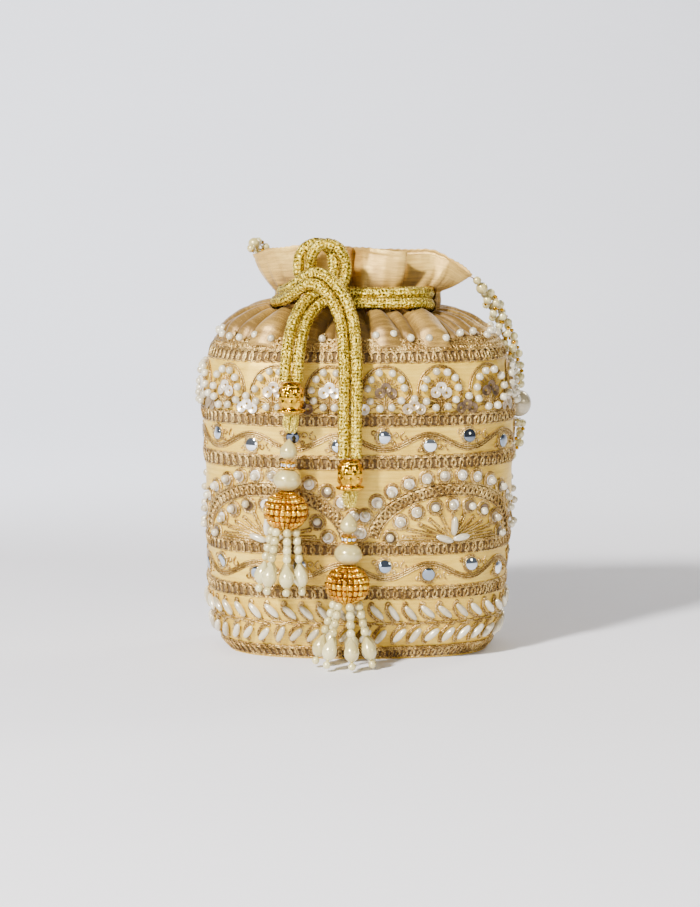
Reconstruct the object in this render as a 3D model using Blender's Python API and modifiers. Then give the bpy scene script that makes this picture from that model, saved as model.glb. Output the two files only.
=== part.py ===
"""Potli bag: an embroidered oval pouch with a gathered cloth yoke, a doubled drawstring tied in a half bow,
two beaded pendants on its ends and a beaded handle that swings behind the bag.

Metres, +Z up. The origin is the centre of the base's underside, and the front faces -Y.
"""

import math

import bmesh
import bpy
from mathutils import Matrix, Vector

# Embroidered body: (height, half width, half depth) of its outer face.
BODY_PROFILE = [
    (0.0012, 0.0615, 0.0410),
    (0.0060, 0.0645, 0.0435),
    (0.0140, 0.0680, 0.0470),
    (0.0280, 0.0702, 0.0492),
    (0.0600, 0.0715, 0.0505),
    (0.0950, 0.0725, 0.0515),
    (0.1200, 0.0728, 0.0515),
    (0.1340, 0.0715, 0.0500),
    (0.1420, 0.0688, 0.0473),
    (0.1470, 0.0655, 0.0440),
]
BODY_POWER = 2.6  # the superellipse that the bag is in plan
BODY_AROUND = 40
BODY_WALL = 0.0016
LINING_WALL = 0.0008
GAP = 0.0003  # between pieces that touch

# Base.
COVER_THICK = 0.0008
BOARD_THICK = 0.0020

# Yoke: (height, half width, half depth, gather depth, fold depth) of its outer face, seam to rim.
YOKE_ROWS = [
    (0.1475, 0.0652, 0.0437, 0.0, 0.0),
    (0.1530, 0.0605, 0.0390, 0.0005, 0.0),
    (0.1575, 0.0520, 0.0310, 0.0006, 0.0),
    (0.1602, 0.0445, 0.0255, 0.0005, 0.0),
    (0.1622, 0.0392, 0.0219, 0.0003, 0.0),
    (0.1680, 0.0380, 0.0206, 0.0002, 0.0),
    (0.1735, 0.0410, 0.0200, 0.0002, 0.0006),
    (0.1820, 0.0475, 0.0190, 0.0, 0.0020),
    (0.1900, 0.0512, 0.0190, 0.0, 0.0025),
]
YOKE_AROUND = 60
YOKE_WALL = 0.0010
NECK_POWER = 2.2
GATHERS = 14
FOLDS = 7
FRILL_FROM = 0.1650  # above this the frill's two tips droop
LEFT_TIP_DROOP = 0.0030
RIGHT_TIP_DROOP = 0.0135
FRILL_SHIFT = 0.0020  # the rim's middle lies this far to the right of the neck's

# Drawstring: two cords side by side, from the left cap to the right one.
CORD_DIAMETER = 0.0052
STRAND_OFFSET = 0.0028  # from the middle of the pair to each cord
CORD_POINTS = 92
CASING_Z = 0.1650
CASING_A, CASING_B = 0.0336, 0.0160  # the pair's path inside the neck
CASING_BAND_WALL = 0.0008
CASING_BAND_HEIGHT = 0.0120
BOW_CENTRE = (-0.0167, 0.1826)
BOW_HALF_WIDTH, BOW_RISE = 0.0081, 0.0094
EYELET_SIZE = (0.0075, 0.0085, 0.0072)
EYELETS = [(-0.0360, -0.0095, 0.1655), (0.0320, -0.0135, 0.1660)]

# Pendants: the point where each hangs from its cord's end, its lean, and the spread of its tassel.
LEFT_CAP = (-0.0305, -0.0600, 0.1238)
RIGHT_CAP = (-0.0038, -0.0610, 0.0888)
LEFT_PIVOT = (-0.0313, -0.0620, 0.1062)
RIGHT_PIVOT = (-0.0041, -0.0622, 0.0722)
LEFT_LEAN, RIGHT_LEAN = math.radians(3.0), math.radians(1.5)
LEFT_SPLAY, RIGHT_SPLAY = math.radians(9.5), math.radians(16.0)
CAP_HALF = 0.0067
STRANDS = 7
STRAND_RING = 0.0056  # radius on which the strands leave the ball

# Handle: the path of its middle from the right tip of the frill, behind the bag, to the left tip.
HANDLE_PATH = [
    (0.0553, 0.0010, 0.1752),
    (0.0578, 0.0030, 0.1708),
    (0.0628, 0.0100, 0.1642),
    (0.0698, 0.0210, 0.1504),
    (0.0744, 0.0270, 0.1380),
    (0.0772, 0.0300, 0.1200),
    (0.0780, 0.0310, 0.1060),
    (0.0750, 0.0370, 0.0910),
    (0.0660, 0.0490, 0.0800),
    (0.0480, 0.0600, 0.0720),
    (0.0200, 0.0640, 0.0680),
    (-0.0080, 0.0640, 0.0700),
    (-0.0310, 0.0620, 0.0800),
    (-0.0415, 0.0590, 0.0970),
    (-0.0440, 0.0565, 0.1160),
    (-0.0420, 0.0535, 0.1350),
    (-0.0385, 0.0485, 0.1500),
    (-0.0360, 0.0410, 0.1610),
    (-0.0370, 0.0340, 0.1695),
    (-0.0415, 0.0275, 0.1776),
    (-0.0456, 0.0215, 0.1848),
    (-0.0476, 0.0158, 0.1896),
    (-0.0494, 0.0096, 0.1904),
    (-0.0510, 0.0040, 0.1874),
]
HANDLE_RADIUS = 0.0045
END_PEARL, SECOND_PEARL, BIG_PEARL = 0.0020, 0.0029, 0.0060  # radii
BIG_PEARL_AT = 0.076  # distance of each big pearl from its end of the handle

# Loop braid sewn round the body: name, lower and upper edge.
BRAIDS = [
    ("braid_foot", 0.0014, 0.0068),
    ("braid_above_leaves", 0.0290, 0.0355),
    ("braid_below_fans", 0.0500, 0.0565),
    ("braid_above_fans", 0.0898, 0.0965),
    ("braid_below_flowers", 0.1095, 0.1160),
    ("braid_shoulder", 0.1385, 0.1440),
]
BRAID_THICK = 0.0010


def clear_scene():
    for obj in list(bpy.data.objects):
        bpy.data.objects.remove(obj, do_unlink=True)


def make_collection(name):
    collection = bpy.data.collections.new(name)
    bpy.context.scene.collection.children.link(collection)
    return collection


def material(name, colour, roughness, metallic=0.0):
    made = bpy.data.materials.new(name)
    made.use_nodes = True
    shader = made.node_tree.nodes["Principled BSDF"]
    shader.inputs["Base Color"].default_value = (*colour, 1.0)
    shader.inputs["Roughness"].default_value = roughness
    shader.inputs["Metallic"].default_value = metallic
    return made


def add(name, data, made_of, parent=None):
    obj = bpy.data.objects.new(name, data)
    PARTS.objects.link(obj)
    data.materials.append(made_of)
    obj.parent = parent
    return obj


def empty_at(name, place, turn=(0.0, 0.0, 0.0)):
    obj = bpy.data.objects.new(name, None)
    PARTS.objects.link(obj)
    obj.location = place
    obj.rotation_euler = turn
    return obj


def mesh_from(bm, name, smooth=40.0):
    mesh = bpy.data.meshes.new(name)
    bmesh.ops.recalc_face_normals(bm, faces=bm.faces)
    bm.to_mesh(mesh)
    bm.free()
    mesh.shade_smooth()
    mesh.set_sharp_from_angle(angle=math.radians(smooth))
    return mesh


def catmull(a, b, c, d, t):
    """A smooth value between b and c."""
    return 0.5 * (2 * b + (c - a) * t + (2 * a - 5 * b + 4 * c - d) * t * t + (3 * b - a - 3 * c + d) * t**3)


def smooth_path(points, count):
    """count points along a smooth curve through the given ones, evenly spaced."""
    fine = []
    for i in range(len(points) - 1):
        a, b = points[max(i - 1, 0)], points[i]
        c, d = points[i + 1], points[min(i + 2, len(points) - 1)]
        fine += [catmull(a, b, c, d, k / 12) for k in range(12)]
    fine.append(points[-1])
    lengths = [0.0]
    for p, q in zip(fine, fine[1:]):
        lengths.append(lengths[-1] + (q - p).length)
    made, j = [], 0
    for k in range(count):
        at = lengths[-1] * k / (count - 1)
        while j < len(fine) - 2 and lengths[j + 1] < at:
            j += 1
        share = (at - lengths[j]) / max(lengths[j + 1] - lengths[j], 1e-9)
        made.append(fine[j].lerp(fine[j + 1], min(share, 1.0)))
    return made


def superellipse(a, b, power, turn):
    c, s = math.cos(turn), math.sin(turn)
    return (
        math.copysign(a * abs(c) ** (2 / power), c),
        math.copysign(b * abs(s) ** (2 / power), s),
    )


def body_section(z):
    """Half width and half depth of the body's outer face at a height."""
    rows = BODY_PROFILE
    z = min(max(z, rows[0][0]), rows[-1][0])
    i = max(k for k in range(len(rows) - 1) if rows[k][0] <= z)
    t = (z - rows[i][0]) / (rows[i + 1][0] - rows[i][0])
    near = [rows[max(i - 1, 0)], rows[i], rows[i + 1], rows[min(i + 2, len(rows) - 1)]]
    return tuple(catmull(*(row[k] for row in near), t) for k in (1, 2))


def ring(z, a, b, power=BODY_POWER, count=BODY_AROUND):
    turns = (2 * math.pi * k / count for k in range(count))
    return [Vector((*superellipse(a, b, power, turn), z)) for turn in turns]


def loft(name, rings, closed_foot=False):
    """An open skin through the rings, with its foot closed by a fan if asked."""
    bm = bmesh.new()
    rows = [[bm.verts.new(p) for p in points] for points in rings]
    for low, high in zip(rows, rows[1:]):
        for k in range(len(low)):
            n = (k + 1) % len(low)
            bm.faces.new((low[k], low[n], high[n], high[k]))
    if closed_foot:
        foot = rows[0]
        middle = bm.verts.new(sum((v.co for v in foot), Vector()) / len(foot))
        for k in range(len(foot)):
            bm.faces.new((foot[(k + 1) % len(foot)], foot[k], middle))
    return mesh_from(bm, name)


def solidify(obj, thickness, side):
    made = obj.modifiers.new("wall", "SOLIDIFY")
    made.thickness = thickness
    made.offset = side
    made.use_quality_normals = True


def build_body(silk, satin):
    rings = [ring(z, a, b) for z, a, b in BODY_PROFILE]
    shell = add("embroidered_body", loft("body", rings), silk)
    solidify(shell, BODY_WALL, -1)
    inset = BODY_WALL + 2 * GAP
    floor = COVER_THICK + BOARD_THICK + 3 * GAP
    rows = [ring(floor + LINING_WALL, *(v - inset - 0.002 for v in body_section(floor)), count=32)]
    for z in (0.0080, 0.0280, 0.0950, 0.1340, 0.1450):
        rows.append(ring(z, *(v - inset for v in body_section(z)), count=32))
    lining = add("lining", loft("lining", rows, closed_foot=True), satin)
    solidify(lining, LINING_WALL, -1)


def flat_plate(name, a, b, low, thickness, made_of):
    """A flat oval plate: a filled outline, extruded by half its thickness each way."""
    curve = bpy.data.curves.new(name, "CURVE")
    curve.dimensions = "2D"
    curve.fill_mode = "BOTH"
    curve.extrude = thickness / 2
    spline = curve.splines.new("POLY")
    outline = ring(0.0, a, b)
    spline.points.add(len(outline) - 1)
    for point, place in zip(spline.points, outline):
        point.co = (*place, 1.0)
    spline.use_cyclic_u = True
    obj = add(name, curve, made_of)
    obj.location.z = low + thickness / 2


def build_base(silk, card):
    a, b = body_section(0.0)
    flat_plate("base_cover", a, b, 0.0, COVER_THICK, silk)
    inset = BODY_WALL + 2 * GAP
    flat_plate("base_board", a - inset, b - inset, COVER_THICK + GAP, BOARD_THICK, card)


def build_braids(gimp):
    stand_off = GAP + 0.0001
    for name, low, high in BRAIDS:
        between = [row[0] for row in BODY_PROFILE if low < row[0] < high]
        rows = [ring(z, *(v + stand_off for v in body_section(z))) for z in (low, *between, high)]
        solidify(add(name, loft(name, rows), gimp), BRAID_THICK, 1)


def yoke_ring(z, a, b, gather, fold):
    """One ring of the yoke, with its small gathers, its wide folds and the droop of its tips."""
    rise = max(0.0, (z - FRILL_FROM) / (YOKE_ROWS[-1][0] - FRILL_FROM))
    power = BODY_POWER if z < 0.16 else NECK_POWER
    points = []
    for k in range(YOKE_AROUND):
        turn = 2 * math.pi * k / YOKE_AROUND
        grow = gather * math.cos(GATHERS * turn) + fold * math.cos(FOLDS * turn + 1.0)
        x, y = superellipse(a + grow, b + grow, power, turn)
        tip = min(abs(x) / a, 1.0) ** 3
        droop = (RIGHT_TIP_DROOP if x > 0 else LEFT_TIP_DROOP) * tip * rise
        points.append(Vector((x + FRILL_SHIFT * rise, y, z - droop)))
    return points


def build_yoke(tissue):
    yoke = add("yoke_and_frill", loft("yoke", [yoke_ring(*row) for row in YOKE_ROWS]), tissue)
    solidify(yoke, YOKE_WALL, -1)
    for k, place in enumerate(EYELETS):
        bm = bmesh.new()
        bmesh.ops.create_uvsphere(bm, u_segments=14, v_segments=10, radius=1.0)
        bmesh.ops.scale(bm, vec=EYELET_SIZE, verts=bm.verts)
        cutter = bpy.data.objects.new(f"eyelet_cutter_{k}", mesh_from(bm, "cutter"))
        CUTTERS.objects.link(cutter)
        cutter.location = place
        cutter.hide_render = True
        cutter.display_type = "WIRE"
        cut = yoke.modifiers.new(f"eyelet_{k}", "BOOLEAN")
        cut.operation = "DIFFERENCE"
        cut.object = cutter


def build_casing_band(satin):
    """The strip sewn inside the neck, which holds the drawstring against the yoke."""
    inset = CORD_DIAMETER / 2 + 3 * GAP
    rows = [
        ring(z, CASING_A - inset, CASING_B - inset, NECK_POWER, 32)
        for z in (CASING_Z - CASING_BAND_HEIGHT / 2, CASING_Z + CASING_BAND_HEIGHT / 2)
    ]
    solidify(add("casing_band", loft("casing_band", rows), satin), CASING_BAND_WALL, -1)


def drawstring_route():
    """(place, side) pairs along the middle of the pair of cords. Side points to the outer cord, which crosses to the inside of the bow at its top."""
    across, up = Vector((1, 0, 0)), Vector((0, 0, 1))
    route = [
        (Vector((-0.0305, -0.0600, 0.1312)), across),
        (Vector((-0.0300, -0.0588, 0.1400)), across),
        (Vector((-0.0290, -0.0550, 0.1485)), Vector((1, 0, -0.2))),
        (Vector((-0.0272, -0.0490, 0.1560)), Vector((1, 0, -0.4))),
        (Vector((-0.0242, -0.0436, 0.1622)), Vector((1, 0, -0.6))),
        (Vector((-0.0194, -0.0396, 0.1672)), Vector((1, 0, -0.9))),
        (Vector((-0.0130, -0.0370, 0.1716)), Vector((0.8, 0, -1))),
        (Vector((-0.0092, -0.0344, 0.1770)), Vector((1, 0, -0.4))),
    ]
    cx, cz = BOW_CENTRE
    for degrees, y in ((0, -0.0324), (45, -0.0318), (90, -0.0312), (135, -0.0306), (180, -0.0296)):
        c, s = math.cos(math.radians(degrees)), math.sin(math.radians(degrees))
        side = Vector((c * c, -math.sqrt(max(0.0, 1 - c * c)), c * s))
        route.append((Vector((cx + BOW_HALF_WIDTH * c, y, cz + BOW_RISE * s)), side))
    route += [
        (Vector((-0.0228, -0.0274, 0.1748)), Vector((0.9, 0, 0.5))),
        (Vector((-0.0166, -0.0266, 0.1698)), Vector((0.5, 0.3, 0.9))),
        (Vector((-0.0050, -0.0268, 0.1674)), Vector((0, 0.6, 0.8))),
        (Vector((0.0070, -0.0269, 0.1669)), Vector((0, 0.6, 0.8))),
        (Vector((0.0185, -0.0266, 0.1670)), Vector((0, 0.6, 0.8))),
        (Vector((0.0268, -0.0238, 0.1670)), Vector((-0.2, 0.5, 0.8))),
        (Vector((0.0318, -0.0179, 0.1664)), Vector((-0.25, 0.4, 0.9))),
        (Vector((0.0328, -0.0108, 0.1653)), up),
    ]
    for degrees in range(-10, 191, 20):
        x, y = superellipse(CASING_A, CASING_B, NECK_POWER, math.radians(degrees))
        route.append((Vector((x, y, CASING_Z)), up))
    route += [
        (Vector((-0.0350, -0.0090, 0.1654)), up),
        (Vector((-0.0366, -0.0150, 0.1668)), Vector((0.45, 0.45, 0.77))),
        (Vector((-0.0356, -0.0224, 0.1680)), Vector((0.45, 0.45, 0.77))),
        (Vector((-0.0324, -0.0302, 0.1694)), Vector((0.2, 0.6, 0.75))),
        (Vector((-0.0282, -0.0354, 0.1724)), Vector((0.2, 0.6, 0.75))),
        (Vector((-0.0238, -0.0398, 0.1762)), Vector((0.3, 0.5, 0.8))),
        (Vector((-0.0180, -0.0440, 0.1768)), Vector((0.3, 0.3, 0.9))),
        (Vector((-0.0124, -0.0456, 0.1724)), Vector((0.7, 0, 0.75))),
        (Vector((-0.0080, -0.0456, 0.1656)), Vector((1, 0, 0.45))),
        (Vector((-0.0052, -0.0478, 0.1572)), Vector((1, 0, 0.1))),
        (Vector((-0.0042, -0.0524, 0.1486)), across),
        (Vector((-0.0036, -0.0578, 0.1390)), across),
        (Vector((-0.0036, -0.0598, 0.1270)), across),
        (Vector((-0.0038, -0.0606, 0.1120)), across),
        (Vector((-0.0038, -0.0610, 0.0964)), across),
    ]
    return route


def cord_pair(route):
    """The outer and inner cord's points. They stay the same distance apart, square to the way they run."""
    keys = [Vector((*place, *(side.normalized() * 0.001))) for place, side in route]
    both = smooth_path(keys, CORD_POINTS)
    outer, inner = [], []
    for k, row in enumerate(both):
        ahead, behind = both[min(k + 1, len(both) - 1)], both[max(k - 1, 0)]
        heading = (Vector(ahead[:3]) - Vector(behind[:3])).normalized()
        side = Vector(row[3:])
        side = (side - heading * side.dot(heading)).normalized() * STRAND_OFFSET
        outer.append(Vector(row[:3]) + side)
        inner.append(Vector(row[:3]) - side)
    return outer, inner


def tube(name, points, radius, made_of, resolution=2, parent=None):
    """A cord through the points, with filled ends."""
    curve = bpy.data.curves.new(name, "CURVE")
    curve.dimensions = "3D"
    curve.bevel_depth = radius
    curve.bevel_resolution = resolution
    curve.use_fill_caps = True
    spline = curve.splines.new("POLY")
    spline.points.add(len(points) - 1)
    for point, place in zip(spline.points, points):
        point.co = (*place, 1.0)
    return add(name, curve, made_of, parent)


def build_drawstrings(gold_cord):
    outer, inner = cord_pair(drawstring_route())
    tube("drawstring_outer", outer, CORD_DIAMETER / 2, gold_cord)
    tube("drawstring_inner", inner, CORD_DIAMETER / 2, gold_cord)


def turned(name, profile, made_of, parent, steps=12, hollow=False):
    """A solid turned about Z from (radius, height) points, listed down its outer side.

    A hollow one's points go on up its inner side and back to the first.
    """
    edges = [(k, k + 1) for k in range(len(profile) - 1)]
    if hollow:
        edges.append((len(profile) - 1, 0))
    mesh = bpy.data.meshes.new(name)
    mesh.from_pydata([(r, 0, z) for r, z in profile], edges, [])
    obj = add(name, mesh, made_of, parent)
    screw = obj.modifiers.new("turn", "SCREW")
    screw.steps = screw.render_steps = steps
    screw.use_merge_vertices = True
    screw.merge_threshold = 0.00005
    screw.use_smooth_shade = True
    return obj


def bead_profile(radius, height, top, count=6):
    """Half an ellipse from its top pole to its bottom one."""
    turns = [math.pi * k / count for k in range(count + 1)]
    return [
        (max(radius * math.sin(t), 0.0) if 0 < k < count else 0.0, top - height / 2 * (1 - math.cos(t)))
        for k, t in enumerate(turns)
    ]


def drop_profile(radius, height, top):
    """A pear shape, narrow above and full below."""
    shape = [(0.0, 0.0), (0.30, 0.06), (0.52, 0.28), (0.84, 0.52), (1.0, 0.74), (0.78, 0.93), (0.0, 1.0)]
    return [(radius * r, top - height * h) for r, h in shape]


def strand_profile():
    """Small pearls, a pear drop and an end pearl, strung so close that they meet."""
    small, waist = 0.0020, 0.0009
    profile = [(0.0, 0.0)]
    z = 0.0
    for _ in range(4):
        profile += [(small, z - small), (waist, z - 2 * small)]
        z -= 2 * small
    profile += [(0.0018, z - 0.0030), (0.0033, z - 0.0075), (0.0027, z - 0.0104), (waist, z - 0.0114)]
    z -= 0.0114
    return profile + [(0.0018, z - 0.0018), (0.0, z - 0.0036)]


def build_cap(side, place, made_of, gold_cord, tuft_length):
    """The gilt bell cap on a cord's end, and the tied tuft below it."""
    base = empty_at(f"{side}_cap_place", place)
    half = CAP_HALF
    outer = [(0.0042, half), (0.0052, half - 0.0015), (0.0057, 0.0), (0.0054, 0.0015 - half), (0.0058, -half)]
    inner = [(0.0032, -half), (0.0032, half)]
    turned(f"{side}_bell_cap", outer + inner, made_of, base, 16, hollow=True)
    top = -half - GAP
    shape = [(0.0, 0.0), (0.0040, 0.0002), (0.0034, 0.55 * tuft_length), (0.0016, tuft_length)]
    tuft = [(r, top - drop) for r, drop in shape] + [(0.0, top - tuft_length)]
    turned(f"{side}_cord_tuft", tuft, gold_cord, base)


def build_pendant(side, pivot, lean, splay, pearl, gold, crystal):
    """The beads that hang below a cord's end. Their parent empty is on the joint's axis."""
    hang = empty_at(f"{side}_pendant_pivot", pivot, (0.0, lean, 0.0))
    top = -0.0006
    turned(f"{side}_drop_pearl", drop_profile(0.0041, 0.0104, top), pearl, hang)
    top -= 0.0104 + GAP
    shape = [(0.0, 0.0), (0.0030, 0.0), (0.0035, 0.0008), (0.0035, 0.0022), (0.0030, 0.0030), (0.0, 0.0030)]
    turned(f"{side}_rondelle", [(r, top - drop) for r, drop in shape], crystal, hang)
    top -= 0.0030 + GAP
    turned(f"{side}_round_pearl", bead_profile(0.0066, 0.0102, top), pearl, hang)
    top -= 0.0102 + GAP
    turned(f"{side}_bugle_ball", bead_profile(0.0101, 0.0174, top, 8), gold, hang, 16)
    foot = top - 0.0174
    for k in range(STRANDS):
        turn = 2 * math.pi * (k + 0.5) / STRANDS
        out = Vector((math.cos(turn), math.sin(turn), 0))
        strand = turned(f"{side}_tassel_strand_{k + 1}", strand_profile(), pearl, hang, 6)
        strand.location = out * STRAND_RING + Vector((0, 0, foot + 0.0012))
        lean_out = Matrix.Rotation(splay, 3, Vector((0, 0, -1)).cross(out))
        strand.rotation_euler = lean_out.to_euler()


def build_handle(pearl):
    """End pearls, big pearls and three bundles of strands, on one swing axis through the frill's tips."""
    points = smooth_path([Vector(p) for p in HANDLE_PATH], 400)
    lengths = [0.0]
    for p, q in zip(points, points[1:]):
        lengths.append(lengths[-1] + (q - p).length)
    total = lengths[-1]
    left, right = points[-1], points[0]
    swing = empty_at("handle_swing_axis", (left + right) / 2)

    def at(distance):
        return points[min(range(len(points)), key=lambda k: abs(lengths[k] - distance))]

    def bead(name, distance, radius, stretch=1.0):
        bm = bmesh.new()
        bmesh.ops.create_uvsphere(bm, u_segments=10, v_segments=8, radius=radius)
        bmesh.ops.scale(bm, vec=(1, 1, stretch), verts=bm.verts)
        obj = add(name, mesh_from(bm, name), pearl, swing)
        obj.location = at(distance) - swing.location
        heading = at(min(distance + 0.003, total)) - at(max(distance - 0.003, 0.0))
        obj.rotation_euler = heading.to_track_quat("Z", "Y").to_euler()

    def bundle(name, start, end):
        steps = max(5, round((end - start) / 0.009))
        route = [at(start + (end - start) * k / steps) - swing.location for k in range(steps + 1)]
        tube(name, route, HANDLE_RADIUS, pearl, 1, swing)

    second = END_PEARL * 2 + GAP + SECOND_PEARL
    first_bundle = second + SECOND_PEARL + 4 * GAP
    big_half = BIG_PEARL * 1.08 + 3 * GAP
    for side, flip in (("right", False), ("left", True)):
        def along(distance):
            return total - distance if flip else distance

        bead(f"handle_{side}_end_pearl", along(END_PEARL), END_PEARL)
        bead(f"handle_{side}_second_pearl", along(second), SECOND_PEARL)
        bead(f"handle_{side}_big_pearl", along(BIG_PEARL_AT), BIG_PEARL, 1.08)
        ends = sorted((along(first_bundle), along(BIG_PEARL_AT - big_half)))
        bundle(f"handle_{side}_strands", *ends)
    bundle("handle_back_strands", BIG_PEARL_AT + big_half, total - BIG_PEARL_AT - big_half)


def main():
    silk = material("embroidered_silk", (0.72, 0.55, 0.33), 0.6)
    satin = material("lining_satin", (0.62, 0.50, 0.34), 0.5)
    tissue = material("tissue_silk", (0.70, 0.56, 0.36), 0.42)
    card = material("card", (0.45, 0.38, 0.28), 0.9)
    gimp = material("gimp_braid", (0.60, 0.43, 0.24), 0.5)
    gold_cord = material("gold_cord", (0.78, 0.62, 0.22), 0.35, 0.8)
    gilt = material("gilt_metal", (0.90, 0.66, 0.12), 0.22, 1.0)
    pearl = material("pearl", (0.93, 0.91, 0.80), 0.2)
    bugle = material("bugle_beads", (0.90, 0.60, 0.10), 0.2, 0.6)
    crystal = material("crystal_rondelle", (0.75, 0.76, 0.80), 0.1, 0.8)
    build_body(silk, satin)
    build_base(silk, card)
    build_braids(gimp)
    build_yoke(tissue)
    build_casing_band(satin)
    build_drawstrings(gold_cord)
    build_cap("left", LEFT_CAP, gilt, gold_cord, 0.0092)
    build_cap("right", RIGHT_CAP, gilt, gold_cord, 0.0082)
    build_pendant("left", LEFT_PIVOT, LEFT_LEAN, LEFT_SPLAY, pearl, bugle, crystal)
    build_pendant("right", RIGHT_PIVOT, RIGHT_LEAN, RIGHT_SPLAY, pearl, bugle, crystal)
    build_handle(pearl)


clear_scene()
PARTS = make_collection("potli_bag")
CUTTERS = make_collection("cutters")
main()
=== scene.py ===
import math
import random

import bmesh
import bpy
import numpy as np
from mathutils import Matrix, Vector


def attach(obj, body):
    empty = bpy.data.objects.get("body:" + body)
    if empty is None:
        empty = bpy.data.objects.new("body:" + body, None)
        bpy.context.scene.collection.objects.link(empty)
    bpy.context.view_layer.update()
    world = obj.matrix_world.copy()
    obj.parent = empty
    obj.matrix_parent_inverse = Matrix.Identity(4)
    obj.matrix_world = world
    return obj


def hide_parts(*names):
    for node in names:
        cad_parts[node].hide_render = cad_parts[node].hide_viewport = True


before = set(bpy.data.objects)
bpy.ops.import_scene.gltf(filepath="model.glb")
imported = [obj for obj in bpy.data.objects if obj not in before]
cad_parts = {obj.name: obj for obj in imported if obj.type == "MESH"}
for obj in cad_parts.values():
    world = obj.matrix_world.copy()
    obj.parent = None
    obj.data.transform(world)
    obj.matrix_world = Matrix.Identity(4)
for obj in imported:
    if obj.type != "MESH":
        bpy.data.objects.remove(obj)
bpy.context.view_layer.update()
mm = 0.001
dice = random.Random(7)


def say(words):
    print("potli:", words, flush=True)


# camera
cameraSettings = {"aim": (-0.0038, 0.0, 0.0914), "distance": 1.4, "elevation": 6.7, "lens": 117.0}


def makeCamera():
    tilt = math.radians(cameraSettings["elevation"])
    back = Vector((0, -math.cos(tilt), math.sin(tilt)))
    data = bpy.data.cameras.new("studioCamera")
    data.lens, data.sensor_width = cameraSettings["lens"], 36
    data.clip_start, data.clip_end = 0.05, 20
    made = bpy.data.objects.new("studioCamera", data)
    bpy.context.scene.collection.objects.link(made)
    made.location = Vector(cameraSettings["aim"]) + back * cameraSettings["distance"]
    made.rotation_euler = (-back).to_track_quat("-Z", "Y").to_euler()
    bpy.context.scene.camera = made


makeCamera()


# shader helpers
class Wire:  # a socket that does maths
    def __init__(self, finish, socket):
        self.finish, self.socket = finish, socket

    def sum(self, operation, a, b=0.0, clamp=False):
        return self.finish.node("ShaderNodeMath", {"operation": operation, "use_clamp": clamp}, {0: a, 1: b})

    def __add__(self, other):
        return self.sum("ADD", self, other)

    def __sub__(self, other):
        return self.sum("SUBTRACT", self, other)

    def __mul__(self, other):
        return self.sum("MULTIPLY", self, other)

    def __truediv__(self, other):
        return self.sum("DIVIDE", self, other)

    def __pow__(self, other):
        return self.sum("POWER", self, other)

    def __rsub__(self, other):
        return self.sum("SUBTRACT", other, self)

    __radd__, __rmul__ = __add__, __mul__

    def wave(self):
        return self.sum("SINE", self)

    def size(self):
        return self.sum("ABSOLUTE", self)

    def clamped(self):
        return self.sum("ADD", self, 0.0, True)

    def top(self, other):
        return self.sum("MAXIMUM", self, other)


class Finish:  # a material under construction
    def __init__(self, name, **shader):
        self.material = bpy.data.materials.new(name)
        self.material.use_nodes = True
        self.tree = self.material.node_tree
        self.shader = self.tree.nodes["Principled BSDF"]
        for key, value in shader.items():
            self.shader.inputs[key.replace("_", " ")].default_value = value

    def node(self, kind, settings=None, values=None, out=0):
        made = self.tree.nodes.new(kind)
        for key, value in (settings or {}).items():
            if key == "stops":
                ramp = made.color_ramp.elements
                while len(ramp) < len(value):
                    ramp.new(0.5)
                for stop, (place, colour) in zip(ramp, value):
                    stop.position, stop.color = place, (*colour, 1.0)
            else:
                setattr(made, key, value)
        for key, value in (values or {}).items():
            if isinstance(value, Wire):
                self.tree.links.new(value.socket, made.inputs[key])
            else:
                made.inputs[key].default_value = value
        return Wire(self, made.outputs[out])

    def place(self, kind="Object"):
        return self.node("ShaderNodeTexCoord", out={"Object": 3, "UV": 2}[kind])

    def noise(self, where, scale, detail=2.0, rough=0.5):
        return self.node("ShaderNodeTexNoise", None, {"Vector": where, "Scale": scale, "Detail": detail, "Roughness": rough})

    def grains(self, where, scale):
        return self.node("ShaderNodeTexVoronoi", None, {"Vector": where, "Scale": scale})

    def parts(self, where):
        split = self.node("ShaderNodeSeparateXYZ", None, {0: where})
        outs = split.socket.node.outputs
        return [Wire(self, outs[k]) for k in range(3)]

    def ramp(self, value, stops):
        return self.node("ShaderNodeValToRGB", {"stops": stops}, {0: value})

    def mix(self, share, a, b, how="MIX"):
        return self.node("ShaderNodeMix", {"data_type": "RGBA", "blend_type": how}, {0: share, 6: a, 7: b}, 2)

    def held(self, name):
        return self.node("ShaderNodeAttribute", {"attribute_name": name}, out=2)

    def bump(self, height, strength=0.4, depth=0.0003, under=None):
        values = {"Strength": strength, "Distance": depth, "Height": height}
        if under is not None:
            values["Normal"] = under
        return self.node("ShaderNodeBump", None, values)

    def feed(self, **links):
        for key, wire in links.items():
            self.tree.links.new(wire.socket, self.shader.inputs[key.replace("_", " ")])
        return self.material


def rgb(r, g, b):
    return (r, g, b, 1.0)


# finishes
finishColours = {
    "tissue": [(0.200, 0.110, 0.022), (0.620, 0.380, 0.085), (0.960, 0.700, 0.200)],
    "bodySilk": [(0.460, 0.260, 0.020), (0.800, 0.520, 0.055), (0.980, 0.740, 0.150)],
    "gimp": [(0.036, 0.015, 0.002), (0.360, 0.200, 0.045), (1.000, 0.760, 0.300)],
    "tape": [(0.040, 0.019, 0.004), (0.160, 0.088, 0.020)],
    "braid": [(0.070, 0.044, 0.001), (0.500, 0.320, 0.004), (1.000, 0.820, 0.140)],
    "whitePearl": [(0.46, 0.38, 0.22), (0.76, 0.69, 0.50)],
    "ivoryPearl": [(0.52, 0.41, 0.13), (0.80, 0.72, 0.36)],
}


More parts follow.
